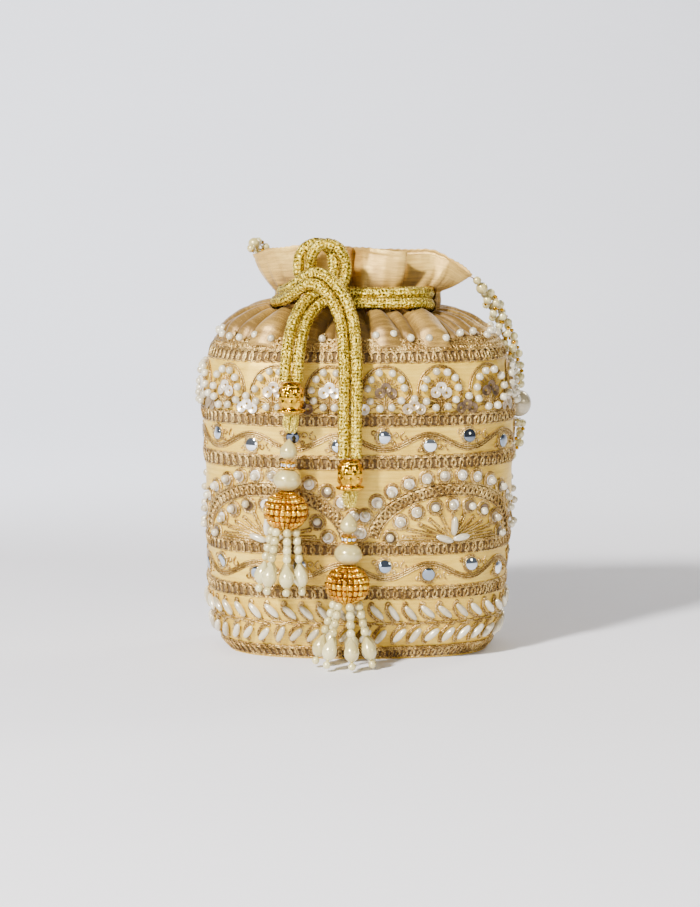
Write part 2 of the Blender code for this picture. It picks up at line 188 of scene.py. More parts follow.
def clothFinish(name, colours, threads, sheen, metallic, rough, creaseShade=0.0):
    f = Finish(name, Sheen_Weight=sheen, Sheen_Roughness=0.35, Metallic=metallic, Roughness=rough)
    where = f.place("UV")
    u, v, _ = f.parts(where)
    warp, weft = (u * threads).wave(), (v * threads).wave()
    slub = f.noise(f.node("ShaderNodeMapping", None, {"Vector": where, "Scale": (60, 900, 1)}), 1.0, 3.0)
    cloud = f.noise(where, 38.0, 3.0)
    glint = f.noise(where, 2600.0, 2.0, 0.7)
    weave = (warp * weft) * 0.5 + 0.5
    tone = cloud * 0.55 + slub * 0.45 + glint * 0.60 + weave * 0.10 - 0.345
    # painted shade: with creaseShade set, the held fold value darkens the colour in the creases of the gathers, on the
    # yoke and near the neck
    if creaseShade:
        tone = tone + f.held("fold") * creaseShade - creaseShade
    colour = f.ramp(tone, [(0.25, colours[0]), (0.5, colours[1]), (0.78, colours[2])])
    creases = f.bump(f.noise(where, 70.0, 4.0), 0.35, 0.0012)
    fine = f.bump(weave + slub * 1.4 + glint, 0.35, 0.00012, creases)
    return f.feed(Base_Color=colour, Normal=fine, Roughness=(0.15 * glint + (rough - 0.08)))


def gimpFinish():
    low, middle, high = finishColours["gimp"]
    f = Finish("antiqueGimp", Metallic=0.75)
    where = f.place()
    strand = f.noise(where, 1500.0, 2.0, 0.6)
    patch = f.noise(where, 90.0, 2.0)
    tone = strand * 0.75 + patch * 0.35
    colour = f.ramp(tone, [(0.33, low), (0.52, middle), (0.70, high)])
    return f.feed(Base_Color=colour, Normal=f.bump(strand, 0.9, 0.0003), Roughness=0.20 + 0.25 * patch)


# a dark backing tape under the loop braids and fan arches: partly the band's own brown ground, partly painted shade
# inside the loop rings
def tapeFinish():
    low, high = finishColours["tape"]
    f = Finish("braidTape", Sheen_Weight=0.1, Roughness=0.8)
    where = f.place()
    net = f.grains(where, 1400.0)
    colour = f.ramp(net, [(0.1, low), (0.6, high)])
    return f.feed(Base_Color=colour, Normal=f.bump(net, 0.8, 0.0003))


def pearlFinish(name, colours):
    f = Finish(name, Metallic=0.20, Specular_IOR_Level=0.7, Coat_Weight=1.0, Coat_Roughness=0.03)
    where = f.place()
    cloud = f.noise(where, 260.0, 2.0)
    tone = f.held("tint") * 0.55 + cloud * 0.55
    colour = f.ramp(tone, [(0.15, colours[0]), (0.70, colours[1])])
    return f.feed(Base_Color=colour, Roughness=0.16 + 0.14 * cloud, Normal=f.bump(cloud, 0.08, 0.0002))


def foilFinish():
    f = Finish("sequinFoil", Metallic=0.6, Coat_Weight=0.3)
    tint = f.held("tint")
    fine = f.noise(f.place(), 900.0, 2.0)
    # painted reflection: each sequin's tint picks a dark brown to cream colour, standing in for the dark or bright
    # surroundings it mirrors
    colour = f.ramp(tint, [(0.18, (0.16, 0.10, 0.05)), (0.45, (0.62, 0.48, 0.30)), (0.66, (0.98, 0.90, 0.78))])
    return f.feed(Base_Color=colour, Roughness=0.24 + 0.16 * fine)


def mirrorFinish():
    f = Finish("mirrorGlass", Metallic=1.0, Coat_Weight=0.4)
    tint = f.held("tint")
    haze = f.noise(f.place(), 500.0, 2.0)
    # painted reflection: each mirror's tint picks a dark blue-grey to white colour, standing in for what it mirrors
    colour = f.ramp(tint, [(0.05, (0.10, 0.12, 0.16)), (0.45, (0.42, 0.50, 0.60)), (0.85, (0.92, 0.97, 1.00))])
    return f.feed(Base_Color=colour, Roughness=0.03 + 0.06 * haze)


def braidFinish(name, lift):
    low, middle, high = finishColours["braid"]
    f = Finish(name, Metallic=0.85)
    u, v, _ = f.parts(f.place("UV"))
    rise, fall = (u * 25.13 + v * 1960.0).wave(), (u * 25.13 - v * 1960.0).wave()
    where = f.place()
    yarn, glint = f.noise(where, 1300.0, 2.0, 0.7), f.grains(where, 900.0)
    tone = rise * fall * 0.13 + yarn * 0.85 + glint * 0.45 + lift
    colour = f.ramp(tone, [(0.26, low), (0.44, middle), (0.62, high)])
    return f.feed(Base_Color=colour, Normal=f.bump(yarn + glint * 0.8, 1.0, 0.0006), Roughness=0.16 + 0.25 * yarn)


def giltFinish(name="brightGilt", colour=(0.92, 0.50, 0.02)):
    f = Finish(name, Metallic=1.0)
    wear = f.noise(f.place(), 420.0, 3.0)
    deep = tuple(c * 0.45 for c in colour)
    tone = f.ramp(wear, [(0.38, deep), (0.60, colour)])
    return f.feed(Base_Color=tone, Roughness=0.06 + 0.14 * wear, Normal=f.bump(wear, 0.18, 0.0003))


def bugleFinish():
    f = Finish("bugleGlass", Metallic=0.9, Coat_Weight=0.3, Coat_Roughness=0.05)
    where = f.place()
    streak = f.noise(where, 700.0, 2.0)
    tone = f.held("tint") * 0.6 + streak * 0.5
    colour = f.ramp(tone, [(0.2, (0.22, 0.08, 0.0)), (0.5, (0.72, 0.33, 0.001)), (0.9, (1.0, 0.66, 0.05))])
    return f.feed(Base_Color=colour, Roughness=0.10 + 0.2 * streak)


def stoneFinish():
    f = Finish("cutStone", Metallic=0.6, Coat_Weight=1.0)
    facetReflection = f.grains(f.place(), 900.0)
    # painted reflection: random cells from near black to white stand in for the facets' dark and bright reflections
    colour = f.ramp(facetReflection, [(0.1, (0.10, 0.11, 0.13)), (0.45, (0.92, 0.94, 0.98))])
    return f.feed(Base_Color=colour, Roughness=0.05 + 0.1 * facetReflection)


def cardFinish():
    f = Finish("greyCard", Roughness=0.9)
    fibre = f.noise(f.place(), 600.0, 4.0)
    colour = f.ramp(fibre, [(0.3, (0.22, 0.18, 0.13)), (0.7, (0.36, 0.31, 0.24))])
    return f.feed(Base_Color=colour, Normal=f.bump(fibre, 0.3, 0.0002))


def stageFinish(name, low, high):
    f = Finish(name, Roughness=0.85)
    where = f.place()
    cloud = f.noise(where, 2.2, 2.0)
    threads = f.noise(f.node("ShaderNodeMapping", None, {"Vector": where, "Scale": (30, 700, 700)}), 1.0, 2.0)
    colour = f.ramp(cloud * 0.8 + threads * 0.2, [(0.3, low), (0.7, high)])
    return f.feed(Base_Color=colour, Normal=f.bump(threads, 0.1, 0.0005))


# the last number, 0.42, is the strength of the painted crease shade on the tissue
tissue = clothFinish("tissueSilk", finishColours["tissue"], 9000.0, 0.10, 0.38, 0.38, 0.42)
bodySilk = clothFinish("bodySilk", finishColours["bodySilk"], 8000.0, 0.06, 0.30, 0.42)
lining = clothFinish("liningSatin", finishColours["tissue"], 14000.0, 0.2, 0.0, 0.5)
gimp, tape = gimpFinish(), tapeFinish()
whitePearl = pearlFinish("whitePearl", finishColours["whitePearl"])
ivoryPearl = pearlFinish("ivoryPearl", finishColours["ivoryPearl"])
foil, mirror = foilFinish(), mirrorFinish()
goldBraid, frayedGold = braidFinish("goldBraid", -0.19), braidFinish("frayedGold", 0.0)
gilt, seedGold, bugle, stone, card = giltFinish(), giltFinish("seedGold", (0.86, 0.46, 0.01)), bugleFinish(), stoneFinish(), cardFinish()
say("finishes made")


# mesh helpers
def pieceFrom(name, verts, faces, finish, uvs=None, flat=False):
    mesh = bpy.data.meshes.new(name)
    mesh.from_pydata([tuple(v) for v in verts], [], [tuple(f) for f in faces])
    if uvs is not None:
        layer = mesh.uv_layers.new(name="cloth")
        loops = np.zeros(len(mesh.loops), dtype=np.int32)
        mesh.loops.foreach_get("vertex_index", loops)
        layer.data.foreach_set("uv", np.asarray(uvs, dtype=np.float32)[loops].ravel())
    mesh.materials.append(finish)
    if not flat:
        mesh.shade_smooth()
    made = bpy.data.objects.new(name, mesh)
    bpy.context.scene.collection.objects.link(made)
    return made


def gridFaces(rows, columns, wrap=True):
    made = []
    for r in range(rows - 1):
        for c in range(columns if wrap else columns - 1):
            n = (c + 1) % columns
            made.append((r * columns + c, r * columns + n, (r + 1) * columns + n, (r + 1) * columns + c))
    return made


def settle(piece, body, slotName, *nodes):
    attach(piece, body)
    if nodes:
        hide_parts(*nodes)


def harden(made, name):  # a Geometry Nodes result becomes a plain mesh
    bpy.context.view_layer.update()
    mesh = bpy.data.meshes.new_from_object(made.evaluated_get(bpy.context.evaluated_depsgraph_get()))
    mesh.name = name
    made.modifiers.clear()
    old, made.data = made.data, mesh
    bpy.data.meshes.remove(old)
    return made


def treeWith(name, inputs):
    tree = bpy.data.node_groups.new(name, "GeometryNodeTree")
    tree.interface.new_socket("Geometry", in_out="INPUT", socket_type="NodeSocketGeometry")
    for label, kind in inputs:
        tree.interface.new_socket(label, in_out="INPUT", socket_type=kind)
    tree.interface.new_socket("Geometry", in_out="OUTPUT", socket_type="NodeSocketGeometry")
    return tree, tree.nodes.new("NodeGroupInput"), tree.nodes.new("NodeGroupOutput")


def addNode(tree, kind, settings=None, links=None):
    made = tree.nodes.new(kind)
    for key, value in (settings or {}).items():
        setattr(made, key, value)
    for key, value in (links or {}).items():
        if isinstance(value, bpy.types.NodeSocket):
            tree.links.new(value, made.inputs[key])
        else:
            made.inputs[key].default_value = value
    return made


def makeBeadTree():
    tree, given, result = treeWith("sewBeads", [("Bead", "NodeSocketObject"), ("Size", "NodeSocketFloat"), ("Finish", "NodeSocketMaterial")])
    vector = {"data_type": "FLOAT_VECTOR"}
    out = addNode(tree, "GeometryNodeInputNamedAttribute", vector, {"Name": "outward"})
    along = addNode(tree, "GeometryNodeInputNamedAttribute", vector, {"Name": "along"})
    spread = addNode(tree, "GeometryNodeInputNamedAttribute", vector, {"Name": "spread"})
    stand = addNode(tree, "FunctionNodeAlignRotationToVector", {"axis": "Z"}, {"Vector": out.outputs[0]})
    turn = addNode(tree, "FunctionNodeAlignRotationToVector", {"axis": "X", "pivot_axis": "Z"}, {"Rotation": stand.outputs[0], "Vector": along.outputs[0]})
    size = addNode(tree, "ShaderNodeVectorMath", {"operation": "SCALE"}, {0: spread.outputs[0], "Scale": given.outputs["Size"]})
    bead = addNode(tree, "GeometryNodeObjectInfo", None, {"Object": given.outputs["Bead"]})
    sown = addNode(tree, "GeometryNodeInstanceOnPoints", None, {"Points": given.outputs[0], "Instance": bead.outputs["Geometry"], "Rotation": turn.outputs[0], "Scale": size.outputs[0]})
    real = addNode(tree, "GeometryNodeRealizeInstances", None, {0: sown.outputs[0]})
    done = addNode(tree, "GeometryNodeSetMaterial", None, {"Geometry": real.outputs[0], "Material": given.outputs["Finish"]})
    tree.links.new(done.outputs[0], result.inputs[0])
    return tree


def makeCordTree():
    tree, given, result = treeWith("couchCord", [("Radius", "NodeSocketFloat"), ("Sides", "NodeSocketInt"), ("Finish", "NodeSocketMaterial")])
    line = addNode(tree, "GeometryNodeMeshToCurve", None, {"Mesh": given.outputs[0]})
    ring = addNode(tree, "GeometryNodeCurvePrimitiveCircle", None, {"Radius": given.outputs["Radius"], "Resolution": given.outputs["Sides"]})
    tube = addNode(tree, "GeometryNodeCurveToMesh", None, {"Curve": line.outputs[0], "Profile Curve": ring.outputs[0], "Fill Caps": True})
    smooth = addNode(tree, "GeometryNodeSetShadeSmooth", None, {"Geometry": tube.outputs[0]})
    real = addNode(tree, "GeometryNodeRealizeInstances", None, {0: smooth.outputs[0]})
    done = addNode(tree, "GeometryNodeSetMaterial", None, {"Geometry": real.outputs[0], "Material": given.outputs["Finish"]})
    tree.links.new(done.outputs[0], result.inputs[0])
    return tree


beadTree, cordTree = makeBeadTree(), makeCordTree()


def runTree(made, tree, **values):
    modifier = made.modifiers.new("maker", "NODES")
    modifier.node_group = tree
    for item in tree.interface.items_tree:
        if item.in_out == "INPUT" and item.name in values:
            modifier[item.identifier] = values[item.name]
    return harden(made, made.name)


def sewBeads(name, rows, bead, finish, size=1.0):
    # rows: (place, outward, along, spread) and a tint, or each bead gets one of its own
    mesh = bpy.data.meshes.new(name)
    mesh.from_pydata([tuple(r[0]) for r in rows], [], [])
    for k, label in ((1, "outward"), (2, "along"), (3, "spread")):
        held = mesh.attributes.new(label, "FLOAT_VECTOR", "POINT")
        held.data.foreach_set("vector", np.array([tuple(r[k]) for r in rows], dtype=np.float32).ravel())
    tint = mesh.attributes.new("tint", "FLOAT", "POINT")
    tint.data.foreach_set("value", np.array([r[4] if len(r) > 4 else dice.random() for r in rows], dtype=np.float32))
    made = bpy.data.objects.new(name, mesh)
    bpy.context.scene.collection.objects.link(made)
    runTree(made, beadTree, Bead=bead, Size=size, Finish=finish)
    for label in ("outward", "along", "spread"):
        if label in made.data.attributes:
            made.data.attributes.remove(made.data.attributes[label])
    return made


def couchCords(name, lines, radius, sides, finish):
    # lines: (points, closed)
    points, edges = [], []
    for line, closed in lines:
        start, count = len(points), len(line)
        points.extend(map(tuple, line))
        edges.extend((start + k, start + k + 1) for k in range(count - 1))
        if closed:
            edges.append((start + count - 1, start))
    mesh = bpy.data.meshes.new(name)
    mesh.from_pydata(points, edges, [])
    made = bpy.data.objects.new(name, mesh)
    bpy.context.scene.collection.objects.link(made)
    return runTree(made, cordTree, Radius=radius, Sides=sides, Finish=finish)


def turnedMesh(name, profile, steps, finish, closed=False):
    # a solid turned about Z from (radius, height) points listed from top to bottom
    verts, faces, columns = [], [], steps
    ring = [(math.cos(2 * math.pi * k / steps), math.sin(2 * math.pi * k / steps)) for k in range(steps)]
    index = []
    for r, z in profile:
        if r < 1e-7:
            index.append([len(verts)] * columns)
            verts.append((0, 0, z))
        else:
            index.append(list(range(len(verts), len(verts) + columns)))
            verts.extend((r * c, r * s, z) for c, s in ring)
    pairs = list(zip(index, index[1:])) + ([(index[-1], index[0])] if closed else [])
    for high, low in pairs:
        for k in range(columns):
            n = (k + 1) % columns
            corner = []
            for v in (high[k], low[k], low[n], high[n]):
                if v not in corner:
                    corner.append(v)
            faces.append(corner)
    return pieceFrom(name, verts, faces, finish)


def ballProfile(radius, half, rings):
    return [(radius * math.sin(math.pi * k / rings) if 0 < k < rings else 0.0, half * math.cos(math.pi * k / rings)) for k in range(rings + 1)]


def pearProfile(radius, height, rings=9):
    made = []
    for k in range(rings + 1):
        t = k / rings
        width = math.sin(math.pi * t ** 1.35) ** 0.72 if 0 < k < rings else 0.0
        made.append((radius * width, height / 2 - height * t))
    return made


beadShapes = {
    "pearlBead": turnedMesh("pearlBead", ballProfile(1.0, 1.0, 7), 11, whitePearl),
    "seedBead": turnedMesh("seedBead", ballProfile(1.0, 0.8, 5), 8, seedGold),
    "riceBead": turnedMesh("riceBead", [(math.sin(math.pi * k / 8) ** 0.85 if 0 < k < 8 else 0.0, math.cos(math.pi * k / 8)) for k in range(9)], 10, whitePearl),
    "dropBead": turnedMesh("dropBead", pearProfile(1.0, 2.0), 14, ivoryPearl),
    "bugleBead": turnedMesh("bugleBead", [(0.0, 1.0), (0.75, 1.0), (1.0, 0.86), (1.0, -0.86), (0.75, -1.0), (0.0, -1.0)], 6, bugle),
    "sequin": turnedMesh("sequin", [(0.24, 0.02), (0.55, 0.03), (0.86, 0.12), (1.0, 0.22), (1.0, 0.15), (0.55, -0.05), (0.24, -0.05)], 14, foil, True),
    "mirrorDisc": turnedMesh("mirrorDisc", [(0.0, 0.16), (0.92, 0.16), (1.0, 0.10), (1.0, -0.1), (0.0, -0.1)], 22, mirror),
}


# the wall of the body, in millimetres: s runs round it from the front, z up, out away from it
wallProfile = [
    (0.0, 60.8, 40.2), (1.2, 61.5, 41.0), (6.0, 64.5, 43.5), (14.0, 68.0, 47.0), (28.0, 70.2, 49.2), (60.0, 71.5, 50.5),
    (95.0, 72.5, 51.5), (120.0, 72.8, 51.5), (134.0, 71.5, 50.0), (142.0, 68.8, 47.3), (147.0, 65.5, 44.0),
    (150.0, 63.2, 41.7), (153.0, 60.5, 39.0), (157.5, 52.0, 31.0), (160.2, 44.5, 25.5),
]
wallPower = 2.6


def smoothTable(rows, count=400):
    rows = np.array(rows)
    ends = np.vstack([2 * rows[0] - rows[1], rows, 2 * rows[-1] - rows[-2]])
    made = []
    for i in range(1, len(ends) - 2):
        a, b, c, d = ends[i - 1], ends[i], ends[i + 1], ends[i + 2]
        for t in np.linspace(0, 1, 24, endpoint=False):
            made.append(0.5 * (2 * b + (c - a) * t + (2 * a - 5 * b + 4 * c - d) * t * t + (3 * b - a - 3 * c + d) * t ** 3))
    made.append(rows[-1])
    return np.array(made)


wallTable = smoothTable(wallProfile)


def oval(a, b, power, phi):
    s, c = np.sin(phi), np.cos(phi)
    return a * np.sign(s) * np.abs(s) ** (2 / power), -b * np.sign(c) * np.abs(c) ** (2 / power)


phiTable = np.linspace(-math.pi, math.pi, 8001)
ovalX, ovalY = oval(72.8, 51.5, wallPower, phiTable)
arcTable = np.concatenate([[0], np.cumsum(np.hypot(np.diff(ovalX), np.diff(ovalY)))])
girth = arcTable[-1]
arcTable -= girth / 2


def bareWall(s, z):
    s = (np.asarray(s, float) + girth / 2) % girth - girth / 2
    z = np.asarray(z, float)
    phi = np.interp(s, arcTable, phiTable)
    a = np.interp(z, wallTable[:, 0], wallTable[:, 1])
    b = np.interp(z, wallTable[:, 0], wallTable[:, 2])
    x, y = oval(a, b, wallPower, phi)
    q = 2 * math.pi * s / girth
    swell = 0.45 * np.sin(3 * q + 0.6) * np.sin(z * 0.045 + 0.4) + 0.35 * np.sin(7 * q + z * 0.05) + 0.2 * np.sin(13 * q - z * 0.09)
    push = 1 + swell * np.clip(z / 12, 0, 1) / 62
    return np.stack([x * push, y * push, z + 0 * x], -1)


def wallFrame(s, z):
    # place, outward, round and up at points of the wall
    s, z = np.broadcast_arrays(np.asarray(s, float), np.asarray(z, float))
    here = bareWall(s, z)
    side = bareWall(s + 0.4, z) - bareWall(s - 0.4, z)
    up = bareWall(s, z + 0.4) - bareWall(s, z - 0.4)
    side /= np.linalg.norm(side, axis=-1, keepdims=True)
    up /= np.linalg.norm(up, axis=-1, keepdims=True)
    out = np.cross(side, up)
    out /= np.linalg.norm(out, axis=-1, keepdims=True)
    return here, out, side, up


def onWall(s, z, out=0.0):
    here, away, _, _ = wallFrame(s, z)
    return (here + away * np.broadcast_to(np.asarray(out, float), here.shape[:-1])[..., None]) * mm


def beadRow(s, z, out, size, turn=0.0, tip=0.0):
    # one sewn bead; size is its (wide, long, thick) half measures in millimetres, turn its angle on the wall
    here, away, side, up = (v for v in wallFrame(s, z))
    along = side * math.cos(turn) + up * math.sin(turn)
    if tip:
        away = away + side * dice.uniform(-tip, tip) + up * dice.uniform(-tip, tip)
    return ((here + wallFrame(s, z)[1] * out) * mm, away, along, np.array(size) * mm)


# cloth of the body, and its base
bodyCloth = {"around": 224, "rows": 80, "foot": 0.9, "seam": 147.0, "thickness": 0.9}


def makeBodyCloth():
    p = bodyCloth
    s = np.linspace(-girth / 2, girth / 2, p["around"], endpoint=False)
    z = np.linspace(p["foot"], p["seam"], p["rows"])
    sGrid, zGrid = np.meshgrid(s, z)
    ripple = 0.14 * np.sin(sGrid * 0.9 + 2 * np.sin(zGrid * 0.21)) * np.sin(zGrid * 0.33) + 0.1 * np.sin(sGrid * 0.37 + zGrid * 0.6)
    outer = onWall(sGrid, zGrid, ripple).reshape(-1, 3)
    inner = onWall(sGrid, zGrid, ripple - p["thickness"]).reshape(-1, 3)
    count, columns = len(outer), p["around"]
    faces = gridFaces(p["rows"], columns)
    faces += [tuple(v + count for v in reversed(f)) for f in gridFaces(p["rows"], columns)]
    last = (p["rows"] - 1) * columns
    for c in range(columns):
        n = (c + 1) % columns
        faces.append((c + count, n + count, n, c))
        faces.append((last + c, last + n, last + n + count, last + c + count))
    uvs = np.stack([sGrid.ravel(), zGrid.ravel()], -1) * mm
    made = pieceFrom("bodyCloth", np.vstack([outer, inner]), faces, bodySilk, np.vstack([uvs, uvs]))
    settle(made, "bag", "embroidered_silk", "embroidered_body")


def plateMesh(name, a, b, low, high, finish, inset=0.6):
    # a flat oval cushion-edged plate
    profile = [(1 - inset / a, high), (1.0, high - 0.25), (1.0, low + 0.2), (1 - inset / a, low)]
    phi = np.linspace(0, 2 * math.pi, 120, endpoint=False)
    x, y = oval(a, b, wallPower, phi)
    verts = [(0, 0, high * mm)]
    for k in np.linspace(0.15, 0.92, 8):
        verts += [(px * k * mm, py * k * mm, high * mm) for px, py in zip(x, y)]
    for share, z in profile:
        verts += [(px * share * mm, py * share * mm, z * mm) for px, py in zip(x, y)]
    for k in np.linspace(0.92, 0.15, 8):
        verts += [(px * k * mm, py * k * mm, low * mm) for px, py in zip(x, y)]
    verts.append((0, 0, low * mm))
    n, rows = len(phi), (len(verts) - 2) // len(phi)
    faces = [tuple(v + 1 for v in f) for f in gridFaces(rows, n)]
    for k in range(n):
        faces.append((0, 1 + k, 1 + (k + 1) % n))
        faces.append((len(verts) - 1, 1 + (rows - 1) * n + (k + 1) % n, 1 + (rows - 1) * n + k))
    made = pieceFrom(name, verts, faces, finish, [(v[0], v[1]) for v in verts])
    tidyNormals(made)
    return made


def tidyNormals(made):
    bm = bmesh.new()
    bm.from_mesh(made.data)
    bmesh.ops.recalc_face_normals(bm, faces=bm.faces)
    bm.to_mesh(made.data)
    bm.free()


def makeBase():
    settle(plateMesh("baseCloth", 61.5, 41.0, 0.0, 0.8, bodySilk), "bag", "embroidered_silk", "base_cover")
    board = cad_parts["base_board"]
    board.data.materials.clear()
    board.data.materials.append(card)


def makeLining():
    rows = [(4.6, 0.05), (4.6, 0.4), (4.6, 0.8), (5.0, 0.93), (7.0, 0.97), (12.0, 1.0)] + [(z, 1.0) for z in np.linspace(20, 144.5, 26)]
    s = np.linspace(-girth / 2, girth / 2, 180, endpoint=False)
    verts, uvs = [], []
    for z, share in rows:
        q = 2 * math.pi * s / girth
        ripple = (0.5 * np.sin(17 * q + z * 0.05) + 0.4 * np.sin(29 * q)) * min(1.0, z / 40) * (1.0 if share == 1.0 else 0.2)
        ring = bareWall(s, np.full_like(s, max(z, 8.0)))
        away = wallFrame(s, np.full_like(s, max(z, 8.0)))[1]
        inside = ring - away * (3.0 + np.abs(ripple))[:, None]
        inside[:, :2] *= share
        inside[:, 2] = z
        verts.append(inside * mm)
        uvs.append(np.stack([s, np.full_like(s, z + 40 * share)], -1) * mm)
    faces = [tuple(reversed(f)) for f in gridFaces(len(rows), len(s))]
    made = pieceFrom("liningCloth", np.vstack(verts), faces, lining, np.vstack(uvs))
    bm = bmesh.new()
    bm.from_mesh(made.data)
    bm.verts.ensure_lookup_table()
    bm.faces.new([bm.verts[k] for k in range(len(s))])
    bm.to_mesh(made.data)
    bm.free()
    wall = made.modifiers.new("wall", "SOLIDIFY")
    wall.thickness, wall.offset = 0.0004, 1
    settle(made, "bag", "lining_satin", "lining")


makeBodyCloth()
makeBase()
makeLining()
say("body cloth, base and lining")


# embroidery on the wall
def alongPath(path, steps):
    # even samples of an (s, z) line: place, direction, distance
    path = np.asarray(path, float)
    gaps = np.hypot(*np.diff(path, axis=0).T)
    run = np.concatenate([[0], np.cumsum(gaps)])
    at = np.linspace(0, run[-1], steps)
    place = np.stack([np.interp(at, run, path[:, 0]), np.interp(at, run, path[:, 1])], -1)
    heading = np.gradient(place, axis=0)
    heading /= np.maximum(np.linalg.norm(heading, axis=1, keepdims=True), 1e-9)
    return place, heading, at


def curveThrough(points, step=0.9):
    rows = smoothTable(points)
    length = np.hypot(*np.diff(rows, axis=0).T).sum()
    return alongPath(rows, max(4, int(length / step) + 1))[0]


def sideLine(path, shift):
    place, heading, _ = alongPath(path, len(path))
    return place + np.stack([-heading[:, 1], heading[:, 0]], -1) * shift


def couchLine(path, out=0.35, closed=False):
    path = np.asarray(path, float)
    wave = out + 0.05 * np.sin(np.arange(len(path)) * 1.7)
    return (onWall(path[:, 0], path[:, 1], wave), closed)


def couchPair(path, gap=0.9, out=0.35):
    return [couchLine(sideLine(path, gap / 2), out), couchLine(sideLine(path, -gap / 2), out)]


def ringLine(s, z, radius, out=0.35, count=12, squash=1.0):
    t = np.linspace(0, 2 * math.pi, count, endpoint=False)
    return (onWall(s + radius * np.cos(t), z + radius * squash * np.sin(t), out), True)


loopBraid = {"pitch": 3.9, "wide": 2.0, "samples": 12, "radius": 0.32, "sides": 4, "lift": 0.5}


def loopsAlong(path, tall, pitch=None, closed=False):
    # a double cursive loop that runs along an (s, z) line
    p = loopBraid
    rough, _, run = alongPath(path, 400)
    loops = round(run[-1] / (pitch or p["pitch"]))
    count = loops * p["samples"] + (0 if closed else 1)
    u = np.arange(count) / p["samples"]
    place, heading, _ = alongPath(path, loops * p["samples"] + 1)
    place, heading = place[:count], heading[:count]
    across = np.stack([-heading[:, 1], heading[:, 0]], -1)
    sizes = np.array([dice.uniform(0.88, 1.1) for _ in range(loops + 2)])
    leans = np.array([dice.uniform(-0.25, 0.35) for _ in range(loops + 2)])
    size, lean = np.interp(u, np.arange(loops + 2), sizes), np.interp(u, np.arange(loops + 2), leans)
    if closed:
        blend = np.clip(loops - u, 0, 1)
        size, lean = size * blend + sizes[0] * (1 - blend), lean * blend + leans[0] * (1 - blend)
    made = []
    for inset, extra in ((0.0, 0.0), (0.56, 0.14)):
        high, wide = (tall - inset) * size, (p["wide"] - inset * 0.8) * size
        rise = high * np.cos(2 * math.pi * u)
        spot = place + across * rise[:, None] + heading * (wide * np.sin(2 * math.pi * u) + lean * rise * 0.4)[:, None]
        lift = p["lift"] + extra + 0.32 * np.sin(2 * math.pi * u + 0.8)
        made.append((onWall(spot[:, 0], spot[:, 1], lift), closed))
    return made


def ringPath(z, count=400):
    return np.stack([np.linspace(-girth / 2, girth / 2, count), np.full(count, float(z))], -1)


def wavyRing(z, waves, height, out=0.4):
    count = waves * 6
    s = np.linspace(-girth / 2, girth / 2, count, endpoint=False)
    return (onWall(s, z + height * np.sin(2 * math.pi * waves * s / girth), out), True)


def tapeAlong(name, path, half, out=0.18, closed=False):
    place, heading, _ = alongPath(path, len(path))
    across = np.stack([-heading[:, 1], heading[:, 0]], -1)
    if closed:
        place, across = place[:-1], across[:-1]
    rows = []
    for share, lift in ((-1, -0.1), (-1, out), (0, out + 0.05), (1, out), (1, -0.1)):
        spot = place + across * half * share
        rows.append(onWall(spot[:, 0], spot[:, 1], lift))
    made = pieceFrom(name, np.vstack(rows), gridFaces(5, len(place), closed), tape)
    return made


loopBands = [
    ("Foot", "braid_foot", 1.0, 6.7), ("AboveLeaves", "braid_above_leaves", 29.4, 35.7), ("BelowFans", "braid_below_fans", 50.0, 56.4),
    ("AboveFans", "braid_above_fans", 89.8, 96.6), ("BelowFlowers", "braid_below_flowers", 109.6, 116.0), ("Shoulder", "braid_shoulder", 138.4, 144.6),
]


def makeLoopBands():
    for label, node, low, high in loopBands:
        middle, half = (low + high) / 2, (high - low) / 2
        wander = ringPath(middle)
        wander[:, 1] += 0.25 * np.sin(2 * math.pi * 5 * wander[:, 0] / girth + middle)
        lines = loopsAlong(wander, half - 0.5, closed=True)
        lines += [wavyRing(low + 0.3, 112, 0.2), wavyRing(high - 0.3, 112, 0.2, 0.5), wavyRing(high - 0.75, 56, 0.25, 0.3)]
        made = couchCords("loopBraid" + label, lines, loopBraid["radius"] * mm, loopBraid["sides"], gimp)
        settle(made, "bag", "gimp_braid", node)
        # the dark tape behind the loops: a backing that also paints the shade inside the loop rings
        backing = tapeAlong("tape" + label, ringPath(middle, 240), half - 0.3, closed=True)
        settle(backing, "bag", "gimp_braid")


makeLoopBands()
say("loop braid")

flowerBand = {"repeats": 16, "shift": -0.3, "arch": 10.6, "archFoot": 125.9, "pearl": 1.85, "sequin": 2.55}


